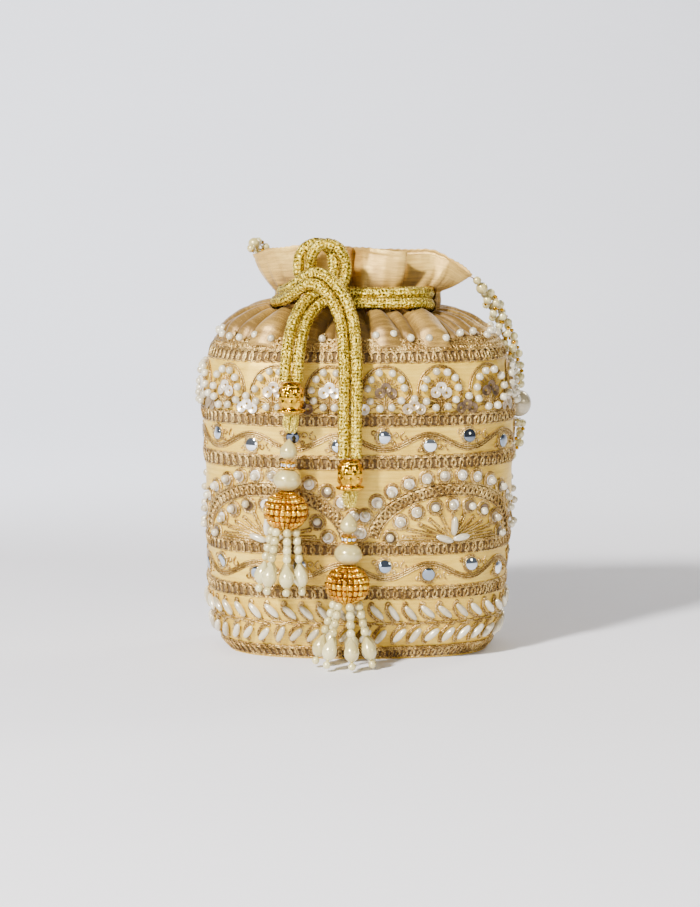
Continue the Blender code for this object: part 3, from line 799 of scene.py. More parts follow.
def makeFlowerBand():
    p = flowerBand
    pitch = girth / p["repeats"]
    cords, stitches, pearls, spangles = [], [], [], []
    for k in range(p["repeats"]):
        s = (k + 0.5) * pitch + p["shift"]
        wide = p["arch"] * dice.uniform(0.97, 1.04)
        arch = [(s - 1.2, 116.6), (s - 2.6, 119.6), (s - 8.2, 121.6), (s - wide - 0.3, 125.0)]
        arch += [(s - wide * math.cos(math.radians(a)), p["archFoot"] + 11.0 * math.sin(math.radians(a))) for a in range(20, 161, 20)]
        arch += [(s + wide + 0.3, 125.0), (s + 8.2, 121.6), (s + 2.6, 119.6), (s + 1.2, 116.6)]
        cords += couchPair(curveThrough(arch), 1.0)
        cords += couchPair(curveThrough([(s - 0.4, 116.4), (s - 0.2, 120), (s, 123.4)]), 0.9, 0.5)
        for side in (-1, 1):
            leaf = [(s + side * 1.6, 117.0), (s + side * 4.6, 118.6), (s + side * 7.0, 117.4), (s + side * 8.4, 116.6)]
            cords.append(couchLine(curveThrough(leaf), 0.4))
            twig = [(s + side * 0.8, 120.4), (s + side * 3.8, 122.6), (s + side * 5.6, 123.0)]
            cords += couchPair(curveThrough(twig), 0.8)
        for angle in range(8, 176, 13):
            a = math.radians(angle + dice.uniform(-3, 3))
            line = [(s + r * math.cos(a), 125.6 + r * math.sin(a)) for r in (4.2, 5.4, 6.5)]
            stitches.append(couchLine(line, 0.55))
        for angle in (4, 38, 72, 107, 142, 176):
            a = math.radians(angle + dice.uniform(-4, 4))
            r = 8.3 + dice.uniform(-0.3, 0.3)
            pearls.append(beadRow(s + r * math.cos(a), 126.2 + r * math.sin(a), 2.0, (p["pearl"],) * 3))
        # painted reflection: one tint for the three sequins of each motif, dark brown to cream
        sequinReflection = dice.random()
        for ds, dz, lift in ((-2.7, 0.2, 0.75), (2.7, 0.0, 0.75), (0, 2.4, 1.1)):
            spangles.append((*beadRow(s + ds, 125.0 + dz, lift, (p["sequin"],) * 3, dice.uniform(0, 3), 0.16), sequinReflection))
        low = k * pitch + p["shift"]
        for ds, z in ((-10.2, 118.4), (-5.6, 121.4), (0.2, 122.9), (5.6, 121.4), (10.2, 118.4)):
            pearls.append(beadRow(low + ds + dice.uniform(-0.4, 0.4), z + dice.uniform(-0.4, 0.4), 2.0, (p["pearl"],) * 3))
        sequinReflection = dice.random()
        for ds, dz, lift in ((-2.9, 0.0, 0.75), (2.9, -0.2, 0.75), (0, 1.7, 1.1)):
            spangles.append((*beadRow(low + ds, 117.9 + dz, lift, (p["sequin"],) * 3, dice.uniform(0, 3), 0.16), sequinReflection))
        for angle in range(20, 170, 20):
            a = math.radians(angle)
            stitches.append(couchLine([(low + r * math.cos(a) * 1.2, 117.8 + r * math.sin(a)) for r in (3.9, 4.8)], 0.5))
    settle(couchCords("flowerCords", cords, 0.42 * mm, 4, gimp), "bag", "gimp_braid")
    settle(couchCords("flowerStitches", stitches, 0.30 * mm, 4, gimp), "bag", "gimp_braid")
    settle(sewBeads("flowerPearls", pearls, beadShapes["pearlBead"], whitePearl), "bag", "pearl")
    settle(sewBeads("flowerSequins", spangles, beadShapes["sequin"], foil), "bag", "crystal")


makeFlowerBand()
say("flower band")

vineBands = {"middles": (102.9, 42.9), "swing": 3.4, "period": 20.5, "firstMirror": 12.0, "mirror": 3.0}


def makeVineBands():
    p = vineBands
    count = 2 * round(girth / p["period"] / 2)
    pitch = girth / count
    cords, discs = [], []
    for row, middle in enumerate(p["middles"]):
        crest = p["firstMirror"] + pitch + row * 0.8
        s = np.linspace(-girth / 2, girth / 2, 420)
        wave = middle + p["swing"] * np.cos(math.pi * (s - crest) / pitch)
        path = np.stack([s, wave], -1)
        for shift, out in ((0.55, 0.4), (-0.45, 0.4), (-1.35, 0.3)):
            line = sideLine(path, shift)[:-1]
            cords.append((onWall(line[:, 0], line[:, 1], out), True))
        for k in range(count):
            at = crest + k * pitch
            sign = 1 if k % 2 == 0 else -1  # +1 under a crest
            z = middle - sign * 2.0
            at += dice.uniform(-0.8, 0.8)
            discs.append(beadRow(at, z, 0.55, (p["mirror"],) * 3, dice.uniform(0, 3), 0.16))
            cords.append(ringLine(at, z, 3.45, 0.5, 16))
            start = math.radians(95 if sign > 0 else -85)
            sweep = np.linspace(start, start + sign * math.radians(215), 12)
            hook = [(at + 4.25 * math.cos(a), z + 4.15 * math.sin(a)) for a in sweep]
            cords.append(couchLine(hook, 0.4))
            for dx, dz, r in ((-4.9, -1.9, 1.0), (5.2, -0.9, 1.05), (4.2, 2.6, 0.8)):
                cords.append(ringLine(at + dx, z + dz * sign, r, 0.4, 8))
            curl = [(at + 9.0, z - sign * 2.6), (at + 7.4, z - sign * 0.3), (at + 8.6, z + sign * 1.5), (at + 10.2, z + sign * 0.6), (at + 9.6, z - sign * 0.7)]
            cords.append(couchLine(curveThrough(curl), 0.35))
    settle(couchCords("vineCords", cords, 0.42 * mm, 4, gimp), "bag", "gimp_braid")
    settle(sewBeads("sewnMirrors", discs, beadShapes["mirrorDisc"], mirror), "bag", "crystal")


makeVineBands()
say("vine bands")

fanBand = {"middles": (-43.6, 44.6, 146.0, -146.0), "foot": 55.6, "outer": (45.5, 31.2, 14), "arch": (38.2, 24.8), "inner": (30.0, 17.6, 9), "ribs": 11}


def ellipsePath(s, z, a, b, low, high, count=120):
    t = np.linspace(math.radians(high), math.radians(low), count)
    return np.stack([s + a * np.cos(t), z + b * np.sin(t)], -1)


def makeFans():
    p = fanBand
    cords, arches, pearls, rices, spangles = [], [], [], [], []
    for k, s in enumerate(p["middles"]):
        z = p["foot"]
        for a, b, number in (p["outer"], p["inner"]):
            line, _, _ = alongPath(ellipsePath(s, z, a, b, 9, 171), number)
            for spotS, spotZ in line:
                dx, dz = dice.uniform(-0.9, 0.9), dice.uniform(-0.9, 0.9)
                cords += [ringLine(spotS, spotZ, 3.15, 0.45, 14), ringLine(spotS, spotZ, 3.75, 0.35, 14)]
                spangles.append(beadRow(spotS, spotZ, 0.5, (2.5,) * 3, dice.uniform(0, 3), 0.12))
                pearls.append(beadRow(spotS + dx, spotZ + dz, 1.9, (1.85,) * 3))
        arch = ellipsePath(s, z, *p["arch"], 6, 174)
        arches += loopsAlong(arch, 2.35, 3.1)
        for shift in (-3.0, 3.0):
            arches.append(couchLine(sideLine(arch, shift)[::2], 0.4))
        # the dark tape under the arch: a backing that also paints the shade inside its loops
        settle(tapeAlong(f"fanTape{k + 1}", arch, 2.7), "bag", "gimp_braid")
        for angle in np.linspace(12, 168, p["ribs"]):
            t = math.radians(angle)
            far = 0.84 if round(angle) % 2 else 0.92
            tip = (s + 25.0 * far * math.cos(t), z + 14.6 * far * math.sin(t))
            middle = (s + 15.0 * math.cos(t), z + 8.0 * math.sin(t) + 0.9)
            start = (s + 4.6 * math.cos(t), z + 1.0 + 2.6 * math.sin(t))
            path = curveThrough([start, middle, tip])
            cords += couchPair(path, 1.3)
            away = np.array(tip) - np.array(middle)
            away /= np.linalg.norm(away)
            cords.append(ringLine(tip[0] + away[0] * 0.5, tip[1] + away[1] * 0.5, 0.9, 0.35, 8))
        rices.append(beadRow(s + 0.4, z + 7.6, 1.5, (4.5, 1.7, 1.6), math.radians(86)))
        rices.append(beadRow(s - 4.3, z + 1.9, 1.5, (4.5, 1.7, 1.6), math.radians(-18)))
        rices.append(beadRow(s + 4.1, z + 2.2, 1.5, (4.3, 1.7, 1.6), math.radians(8)))
        for sign in (-1, 1):
            side = [(s + sign * 8, z + 0.6), (s + sign * 20, z + 1.3), (s + sign * 27, z + 1.0)]
            cords += couchPair(curveThrough(side), 1.1)
    settle(couchCords("fanCords", cords, 0.42 * mm, 4, gimp), "bag", "gimp_braid")
    settle(couchCords("fanArches", arches, 0.38 * mm, 4, gimp), "bag", "gimp_braid")
    settle(sewBeads("fanPearls", pearls, beadShapes["pearlBead"], whitePearl), "bag", "pearl")
    settle(sewBeads("fanRicePearls", rices, beadShapes["riceBead"], whitePearl), "bag", "pearl")
    settle(sewBeads("fanSequins", spangles, beadShapes["sequin"], foil), "bag", "crystal")


beadShapes["riceBead"].data.transform(Matrix.Rotation(math.radians(90), 4, "Y"))
makeFans()
say("fans")

leafBand = {"count": 49, "stem": 18.1, "upper": 23.4, "lower": 12.6, "rice": (4.3, 1.65, 1.6), "lean": (-47.0, 52.0)}


def makeLeaves():
    p = leafBand
    pitch = girth / p["count"]
    cords, rices = [], []
    for height in (0.5, -0.5):
        cords.append(wavyRing(p["stem"] + height, p["count"], 0.35 * (1 if height > 0 else -1), 0.4))
    for k in range(p["count"]):
        for row, (z, lean) in enumerate(((p["upper"], p["lean"][0]), (p["lower"], p["lean"][1]))):
            s = k * pitch + row * pitch * 0.35 + dice.uniform(-0.5, 0.5)
            turn = math.radians(lean + dice.uniform(-9, 9))
            rices.append(beadRow(s, z + dice.uniform(-0.3, 0.3), 1.5, p["rice"], turn))
            c, t = math.cos(turn), math.sin(turn)
            sign = 1 if row == 0 else -1

            def local(along, off):  # off is towards the stem and to the left
                return (s + along * c - off * t * -1 * sign, z + along * t + off * c * -1 * sign)

            for off, reach in ((2.5, 4.9), (3.3, 5.4)):
                leaf = [local(-reach, 0.2), local(-reach * 0.6, off * 0.8), local(0, off), local(reach * 0.7, off * 0.75), local(reach, 0.1)]
                cords.append(couchLine(curveThrough(leaf), 0.4))
            top = [(s - 2.6, z + 3.6 * sign)]
            for x, y in top:
                cords += [ringLine(x, y, 1.15, 0.4, 8), ringLine(x, y, 0.62, 0.5, 6)]
    settle(couchCords("leafCords", cords, 0.42 * mm, 4, gimp), "bag", "gimp_braid")
    settle(sewBeads("leafPearls", rices, beadShapes["riceBead"], whitePearl), "bag", "pearl")


makeLeaves()
say("leaf band")

lace = {"scallops": 45, "foot": 144.3, "radius": 4.2, "pearl": 1.85}


def makeLace():
    p = lace
    pitch = girth / p["scallops"]
    cords, pearls = [], []
    for z, tall in ((145.2, 1.5), (147.2, 1.7)):
        cords += loopsAlong(ringPath(z), tall, 3.3, closed=True)
    for k in range(p["scallops"]):
        s = k * pitch
        for r in (p["radius"], p["radius"] - 0.95, p["radius"] - 1.9):
            t = np.linspace(math.radians(-8), math.radians(188), 11)
            cords.append((onWall(s + r * np.cos(t), p["foot"] + r * 0.95 * np.sin(t), 0.45 + 0.25 * np.cos(3 * t)), False))
        for dx, dz, r in ((-1.5, 0.8, 1.1), (1.5, 0.8, 1.1), (0, 5.4, 1.5)):
            cords.append(ringLine(s + dx, p["foot"] + dz, r, 0.6, 8))
        pearls.append(beadRow(s + dice.uniform(-0.4, 0.4), p["foot"] + 5.2 + dice.uniform(-1.8, 1.4), 1.7, (p["pearl"],) * 3))
    settle(couchCords("scallopLace", cords, 0.38 * mm, 4, gimp), "bag", "gimp_braid")
    settle(sewBeads("scallopPearls", pearls, beadShapes["pearlBead"], whitePearl), "bag", "pearl")


makeLace()
say("scallop lace")


# drawstring route, which the cords and the cloth round them share
cordRoute = {"diameter": 5.2, "apart": 2.8, "bow": (-16.7, 182.6), "bowWide": 8.1, "bowRise": 9.4, "casing": (33.6, 16.0, 165.0)}


def drawstringRoute():
    p = cordRoute
    across, up = (1, 0, 0), (0, 0, 1)
    route = [
        ((-30.5, -60, 131.2), across), ((-30, -58.8, 140), across), ((-29, -55, 148.5), (1, 0, -0.2)), ((-27.2, -49, 156), (1, 0, -0.4)),
        ((-24.2, -43.6, 162.2), (1, 0, -0.6)), ((-19.4, -39.6, 167.2), (1, 0, -0.9)), ((-13, -37, 171.6), (0.8, 0, -1)),
        ((-9.2, -34.4, 177), (1, 0, -0.4)),
    ]
    for degrees, y in ((0, -32.4), (45, -31.8), (90, -31.2), (135, -30.6), (180, -29.6)):  # the two cords cross at the top of the bow
        c, s = math.cos(math.radians(degrees)), math.sin(math.radians(degrees))
        side = (c * c, -math.sqrt(max(0.0, 1 - c * c)), c * s)
        route.append(((p["bow"][0] + p["bowWide"] * c, y, p["bow"][1] + p["bowRise"] * s), side))
    route += [
        ((-22.8, -27.4, 174.8), (0.9, 0, 0.5)), ((-16.6, -26.6, 169.8), (0.5, 0.3, 0.9)), ((-5, -26.8, 167.4), (0, 0.6, 0.8)),
        ((7, -26.9, 166.9), (0, 0.6, 0.8)), ((18.5, -26.6, 167), (0, 0.6, 0.8)), ((26.8, -23.8, 167), (-0.2, 0.5, 0.8)),
        ((31.8, -17.9, 166.4), (-0.25, 0.4, 0.9)), ((32.8, -10.8, 165.3), up),
    ]
    for degrees in range(-10, 191, 20):
        c, s = math.cos(math.radians(degrees)), math.sin(math.radians(degrees))
        x = math.copysign(p["casing"][0] * abs(c) ** (2 / 2.2), c)
        y = math.copysign(p["casing"][1] * abs(s) ** (2 / 2.2), s)
        route.append(((x, y, p["casing"][2]), up))
    route += [
        ((-35, -9, 165.4), up), ((-36.6, -15, 166.8), (0.45, 0.45, 0.77)), ((-35.6, -22.4, 168), (0.45, 0.45, 0.77)),
        ((-32.4, -30.2, 169.4), (0.2, 0.6, 0.75)), ((-28.2, -35.4, 172.4), (0.2, 0.6, 0.75)), ((-23.8, -39.8, 176.2), (0.3, 0.5, 0.8)),
        ((-18, -44, 176.8), (0.3, 0.3, 0.9)), ((-12.4, -45.6, 172.4), (0.7, 0, 0.75)), ((-8, -45.6, 165.6), (1, 0, 0.45)),
        ((-5.2, -47.8, 157.2), (1, 0, 0.1)), ((-4.2, -52.4, 148.6), across), ((-3.6, -57.8, 139), across), ((-3.6, -59.8, 127), across),
        ((-3.8, -60.6, 112), across), ((-3.8, -61, 96.4), across),
    ]
    return route


def openSpline(rows, step):
    # an even, smooth line through rows of numbers; the first three are a place
    rows = np.array(rows, float)
    rows = np.vstack([rows[:1], rows, rows[-1:]])
    fine = []
    for i in range(1, len(rows) - 2):
        a, b, c, d = rows[i - 1], rows[i], rows[i + 1], rows[i + 2]
        for t in np.linspace(0, 1, 16, endpoint=False):
            fine.append(0.5 * (2 * b + (c - a) * t + (2 * a - 5 * b + 4 * c - d) * t * t + (3 * b - a - 3 * c + d) * t ** 3))
    fine = np.array(fine + [rows[-1]])
    run = np.concatenate([[0], np.cumsum(np.linalg.norm(np.diff(fine[:, :3], axis=0), axis=1))])
    at = np.linspace(0, run[-1], max(3, int(run[-1] / step) + 1))
    return np.stack([np.interp(at, run, fine[:, k]) for k in range(fine.shape[1])], -1)


def unit(v):
    return v / np.maximum(np.linalg.norm(v, axis=-1, keepdims=True), 1e-12)


def cordPair(step=0.55):
    rows = [(*place, *(unit(np.array(side, float)))) for place, side in drawstringRoute()]
    both = openSpline(rows, step)
    heading = unit(np.gradient(both[:, :3], axis=0))
    side = both[:, 3:]
    side = unit(side - heading * (side * heading).sum(1, keepdims=True)) * cordRoute["apart"]
    return both[:, :3] + side, both[:, :3] - side


outerCord, innerCord = cordPair()

# yoke, casing and frill: one gathered cloth
frillRim = [
    (-49.6, -1.2, 185.9), (-40, -12, 189.3), (-27, -17, 191.0), (-13, -17, 191.2), (-5, -12, 190.5), (-2.2, -3, 189.6), (0.2, -8, 189.6),
    (5, -15, 189.6), (13, -18.5, 189.0), (22.4, -18.5, 188.0), (19.0, -9, 186.4), (21.5, 2.5, 185.0), (28.5, 4.0, 185.4), (34.5, -2.0, 186.0),
    (44, -6.5, 182.6), (53.2, -0.9, 176.2), (47, 7, 182.0), (35, 13, 187.4), (16, 16, 187.6), (-6, 16, 186.8), (-26, 14, 186.6), (-42, 9, 186.6),
]
frillNeck = [
    (-38, 0), (-32, -11), (-21, -17), (-11, -19), (-6, -18.6), (-3.6, -14.6), (-1.4, -17.8),
    (4, -19.6), (12, -19), (18.8, -17.6), (19.2, -13.8), (20.6, -12.4), (23.2, -14.4), (27.5, -13.8),
    (34, -8), (38.0, 0), (34.5, 7.6), (27, 14), (12, 18.6), (-6, 19.4), (-21, 17.2), (-33, 10),
]
creases = [  # (millimetres round at the seam, lean towards the neck)
    (-60, 4), (-41, 6), (-33, 5), (-19, 2), (-12, -1), (-3, -6), (8, -8), (25, -9), (31, 2), (49, 7), (57, 2), (66, 0),
    (75, 2), (88, -2), (99, 1), (113, 3), (124, -2), (138, 0), (150, 2), (163, -3), (177, 1), (191, 2), (203, -1),
    (-72, 1), (-85, -2), (-97, 2), (-110, -1), (-124, 3), (-139, -2), (-152, 1), (-166, 0), (-180, 2), (-193, -2),
]
topCloth = {"columns": 340, "yokeRows": 36, "casingRows": 8, "frillRows": 44, "puff": 4.4, "wall": 0.5, "slump": 3.8, "seam": 144.6, "neckLow": 162.6, "neckHigh": 168.4, "hole": 3.5, "eyeletsTo": -5.0}


def closedSpline(points, t):
    points = np.array(points, float)
    n = len(points)
    i, f = np.floor(t).astype(int) % n, (t % 1.0)[:, None]
    a, b, c, d = (points[(i + k) % n] for k in (-1, 0, 1, 2))
    return 0.5 * (2 * b + (c - a) * f + (2 * a - 5 * b + 4 * c - d) * f ** 2 + (3 * b - a - 3 * c + d) * f ** 3)


def smoothLoop(values, times):
    for _ in range(times):
        values = (np.roll(values, 1, 0) + 2 * values + np.roll(values, -1, 0)) / 4
    return values


def puffHeights(s, w):
    # rounded swellings between the creases; w runs from the seam to the neck
    places = np.sort(np.array([c + lean * w for c, lean in creases]))
    places = np.concatenate([[places[-1] - girth], places, [places[0] + girth]])
    k = np.clip(np.searchsorted(places, s) - 1, 0, len(places) - 2)
    wide = places[k + 1] - places[k]
    share = np.clip((s - places[k]) / wide, 0, 1)
    return np.sin(math.pi * share) ** 0.55 * np.minimum(1.5, (wide / 13) ** 1.1)


def makeTopCloth():
    p = topCloth
    n = len(frillRim)
    fine = np.linspace(0, n, 4000, endpoint=False)
    rimFine, neckFine = closedSpline(frillRim, fine), closedSpline([(x, y, 0) for x, y in frillNeck], fine)
    step = np.linalg.norm(rimFine - np.roll(rimFine, -1, 0), axis=1) + 0.8 * np.linalg.norm(neckFine - np.roll(neckFine, -1, 0), axis=1)
    run = np.concatenate([[0], np.cumsum(step)])
    t = np.interp(np.linspace(0, run[-1], p["columns"], endpoint=False), run, np.append(fine, n))
    rim, neck = closedSpline(frillRim, t), closedSpline([(x, y, 0) for x, y in frillNeck], t)[:, :2]
    # the turn of each column round the oval neck, then its place round the wall
    turn = np.arctan2(np.sign(neck[:, 0]) * (np.abs(neck[:, 0]) / 38) ** 1.1, -np.sign(neck[:, 1]) * (np.abs(neck[:, 1]) / 19.5) ** 1.1)
    turn = np.unwrap(turn)
    column = np.arange(p["columns"])
    ramp = turn[0] + 2 * math.pi * np.sign(turn[-1] - turn[0]) * column / p["columns"]
    turn = ramp + smoothLoop((turn - ramp)[:, None], 60)[:, 0]
    s = np.interp((turn + math.pi) % (2 * math.pi) - math.pi, phiTable, arcTable)
    away = unit(np.stack([neck[:, 0] / 38 ** 2, neck[:, 1] / 19.5 ** 2], -1))
    fineGather = np.sin(31 * turn + 1.3 * np.sin(3 * turn)) * 0.6 + np.sin(47 * turn + 2 * np.sin(5 * turn)) * 0.4
    neckRing = neck + away * (fineGather * 0.5 + 1.1 * np.clip((neck[:, 1] + 4) / 10, 0, 1))[:, None]  # fuller at the back
    # creaseShade gathers painted shade for each row: lower values paint a darker colour, 1 leaves it unchanged
    rows, heights, creaseShade = [], [], []
    # the yoke climbs the wall, then turns in to the neck
    for k in range(p["yokeRows"]):
        w = k / p["yokeRows"]
        z = np.interp(w, [0, 0.16, 0.34, 0.56, 0.76], [p["seam"], 151.0, 155.0, 158.4, 160.2])
        here, out, _, up = wallFrame(s, np.full_like(s, z))
        here[:, 2] -= p["slump"] * np.clip(here[:, 0] / 60, 0, 1) ** 1.5 * min(1.0, w / 0.3)
        low = p["neckLow"] - 2.6 * np.clip(neck[:, 0] / 38, 0, 1) ** 2
        inner = np.stack([neckRing[:, 0], neckRing[:, 1], low], -1)
        share = np.clip((w - 0.62) / 0.38, 0, 1)
        share = share * share * (3 - 2 * share)
        puff = puffHeights(s, w)
        # painted shade: darkest in the creases between the puffs, and the whole yoke darker than the frill
        creaseShade.append(np.clip(puff, 0, 1) * 0.55 + 0.2 * share)
        swell = p["puff"] * (0.16 + 0.84 * math.sin(math.pi * min(1.0, 0.08 + w * 0.92)) ** 0.8) * puff
        swell = swell + 0.22 * np.sin(23 * turn + 5 * w) * np.sin(9 * w + 3 * turn) - 1.1
        lift = unit(out * (1 - share) + np.array([0, 0, 1.0]) * (0.55 + 0.45 * share))
        rows.append(here * (1 - share) + inner * share + lift * swell[:, None])
        heights.append(w * 34.0)
    for k in range(p["casingRows"]):
        v = k / p["casingRows"]
        low = p["neckLow"] - 2.6 * np.clip(neck[:, 0] / 38, 0, 1) ** 2
        z = low * (1 - v) + p["neckHigh"] * v
        ring = neckRing + away * (0.9 * math.sin(math.pi * v) + 0.1)
        rows.append(np.stack([ring[:, 0], ring[:, 1], z], -1))
        heights.append(34.0 + 6 * v)
        # painted shade: the casing evenly a little darker
        creaseShade.append(np.full(p["columns"], 0.45))
    for k in range(p["frillRows"] + 1):
        v = k / p["frillRows"]
        grow, climb = v ** 0.82, v ** 1.02
        flat = neckRing * (1 - grow) + rim[:, :2] * grow
        soft = (1 - v) ** 1.4
        fold = 0.9 * np.sin(9 * turn + 0.8) + 0.7 * np.sin(17 * turn + 2.1) + 0.5 * np.sin(26 * turn)
        drape = fold * soft * v * 1.5 + 0.35 * np.sin(5 * turn + 6 * v) * v
        belly = 1.6 * math.sin(math.pi * v) * (0.6 + 0.4 * np.sin(2 * turn))
        hem = 0.32 * (1 / (1 + math.exp(-(v - 0.885) * 160))) - 0.30 * math.exp(-((v - 0.88) / 0.012) ** 2)
        side = unit(np.stack([flat[:, 0] * 0.5, flat[:, 1]], -1))
        ripple = 0.3 * np.sin(61 * turn + 3 * np.sin(7 * turn)) * v ** 3
        flat = flat + side * (drape + belly + hem + ripple * 0.4)[:, None]
        z = p["neckHigh"] * (1 - climb) + rim[:, 2] * climb + ripple * 0.5 + 0.25 * np.sin(11 * turn + 1) * v
        rows.append(np.stack([flat[:, 0], flat[:, 1], z], -1))
        heights.append(40.0 + 24 * v)
        # painted shade: darker near the neck and in the hollows of the frill's folds, lighter on their ridges
        creaseShade.append(0.5 + 0.5 * min(1.0, v * 1.8) + 0.12 * fold * soft)
    grid = np.array(rows)
    calm = grid.copy()
    first, last = int(p["yokeRows"] * 0.55), p["yokeRows"] + p["casingRows"] + 6
    for _ in range(5):
        calm[1:-1] = (calm[:-2] + 2 * calm[1:-1] + calm[2:]) / 4
    grid[first:last] = calm[first:last]
    verts = grid.reshape(-1, 3)
    reach = np.full(len(verts), 99.0)
    for cord in (outerCord, innerCord):
        for c in cord[::2]:
            reach = np.minimum(reach, np.linalg.norm(verts - c, axis=1))
    reach[verts[:, 1] > p["eyeletsTo"]] = 99.0  # only the eyelets in front are open
    faces = gridFaces(len(rows), p["columns"])
    faces = [f for f in faces if min(reach[v] for v in f) > p["hole"]]
    uvs = np.stack([np.tile(column / p["columns"] * girth, len(rows)), np.repeat(heights, p["columns"])], -1) * mm
    made = pieceFrom("gatheredCloth", verts * mm, faces, tissue, uvs)
    # the fold attribute carries the painted crease shade to the tissue finish
    shaded = made.data.attributes.new("fold", "FLOAT", "POINT")
    shaded.data.foreach_set("value", np.concatenate(creaseShade).astype(np.float32))
    bm = bmesh.new()
    bm.from_mesh(made.data)
    bmesh.ops.delete(bm, geom=[v for v in bm.verts if not v.link_faces], context="VERTS")
    bm.to_mesh(made.data)
    bm.free()
    wall = made.modifiers.new("wall", "SOLIDIFY")
    wall.thickness, wall.offset = p["wall"] * mm, -1
    settle(made, "bag", "tissue_silk", "yoke_and_frill")
    return made


gatheredCloth = makeTopCloth()


def makeCasingBand():
    turns = np.linspace(0, 2 * math.pi, 120, endpoint=False)
    rows = []
    for z in np.linspace(159.0, 171.0, 13):
        c, s = np.cos(turns), np.sin(turns)
        grow = 0.25 * np.sin(22 * turns) + 0.12 * math.sin(z * 2.2)
        x, y = (30.0 + grow) * np.sign(c) * np.abs(c) ** 0.91, (12.4 + grow) * np.sign(s) * np.abs(s) ** 0.91
        rows.append(np.stack([x, y, np.full_like(x, z)], -1) * mm)
    uvs = np.stack([np.tile(turns * 22, 13), np.repeat(np.linspace(159, 171, 13), 120)], -1) * mm
    made = pieceFrom("casingBand", np.vstack(rows), gridFaces(13, 120), lining, uvs)
    wall = made.modifiers.new("wall", "SOLIDIFY")
    wall.thickness, wall.offset = 0.0006, -1
    settle(made, "bag", "lining_satin", "casing_band")


makeCasingBand()
say("yoke, frill and casing")

braidCord = {"around": 32, "carriers": 4, "pitch": 1960.0, "swell": 0.2, "fuzz": 0.12, "seed": 5}


def makeDrawstring(name, line, node):
    p = braidCord
    heading = unit(np.gradient(line, axis=0))
    across = np.zeros_like(line)
    start = np.cross(heading[0], (0, 1, 0.2))
    across[0] = unit(start)
    for k in range(1, len(line)):
        step = across[k - 1] - heading[k] * (across[k - 1] * heading[k]).sum()
        across[k] = unit(step)
    third = np.cross(heading, across)
    run = np.concatenate([[0], np.cumsum(np.linalg.norm(np.diff(line, axis=0), axis=1))]) * mm
    u = np.arange(p["around"] + 1) / p["around"]
    turn = 2 * math.pi * u
    rise = np.sin(p["carriers"] * turn[None, :] + p["pitch"] * run[:, None])
    fall = np.sin(p["carriers"] * turn[None, :] - p["pitch"] * run[:, None])
    radius = cordRoute["diameter"] / 2 + 0.02 + p["swell"] * rise * fall
    radius += np.random.default_rng(p["seed"]).normal(0.0, p["fuzz"], radius.shape).clip(-0.25, 0.25)
    shape = line[:, None, :] + radius[..., None] * (across[:, None, :] * np.cos(turn)[None, :, None] + third[:, None, :] * np.sin(turn)[None, :, None])
    shape[:, -1] = shape[:, 0]
    count, columns = len(line), p["around"] + 1
    verts = shape.reshape(-1, 3)
    uvs = np.stack([np.tile(u, count), np.repeat(run, columns)], -1)
    faces = [tuple(reversed(f)) for f in gridFaces(count, columns, False)]
    verts = np.vstack([verts, line[:1] - heading[:1] * 0.4, line[-1:] + heading[-1:] * 0.4])
    uvs = np.vstack([uvs, [[0.5, 0.0]], [[0.5, run[-1]]]])
    a, b = len(verts) - 2, len(verts) - 1
    for k in range(columns - 1):
        faces.append((a, k, k + 1))
        faces.append((b, (count - 1) * columns + k + 1, (count - 1) * columns + k))
    made = pieceFrom(name, verts * mm, faces, goldBraid, uvs)
    bm = bmesh.new()
    bm.from_mesh(made.data)
    bmesh.ops.remove_doubles(bm, verts=bm.verts, dist=1e-6)
    bmesh.ops.recalc_face_normals(bm, faces=bm.faces)
    bm.to_mesh(made.data)
    bm.free()
    settle(made, "bag", "gold_cord", node)
    tuple(line[0] * mm)
    [tuple(v * mm) for v in line[::4]]
    say(f"{name} {run[-1]:.3f} m")
    return made


caps = {"left": ((-30.5, -60.0, 123.8), 9.2), "right": ((-3.8, -61.0, 88.8), 8.2)}
capShape = {"half": 6.7, "around": 64, "rows": 44, "bosses": 8, "raised": 0.75, "threads": 90}


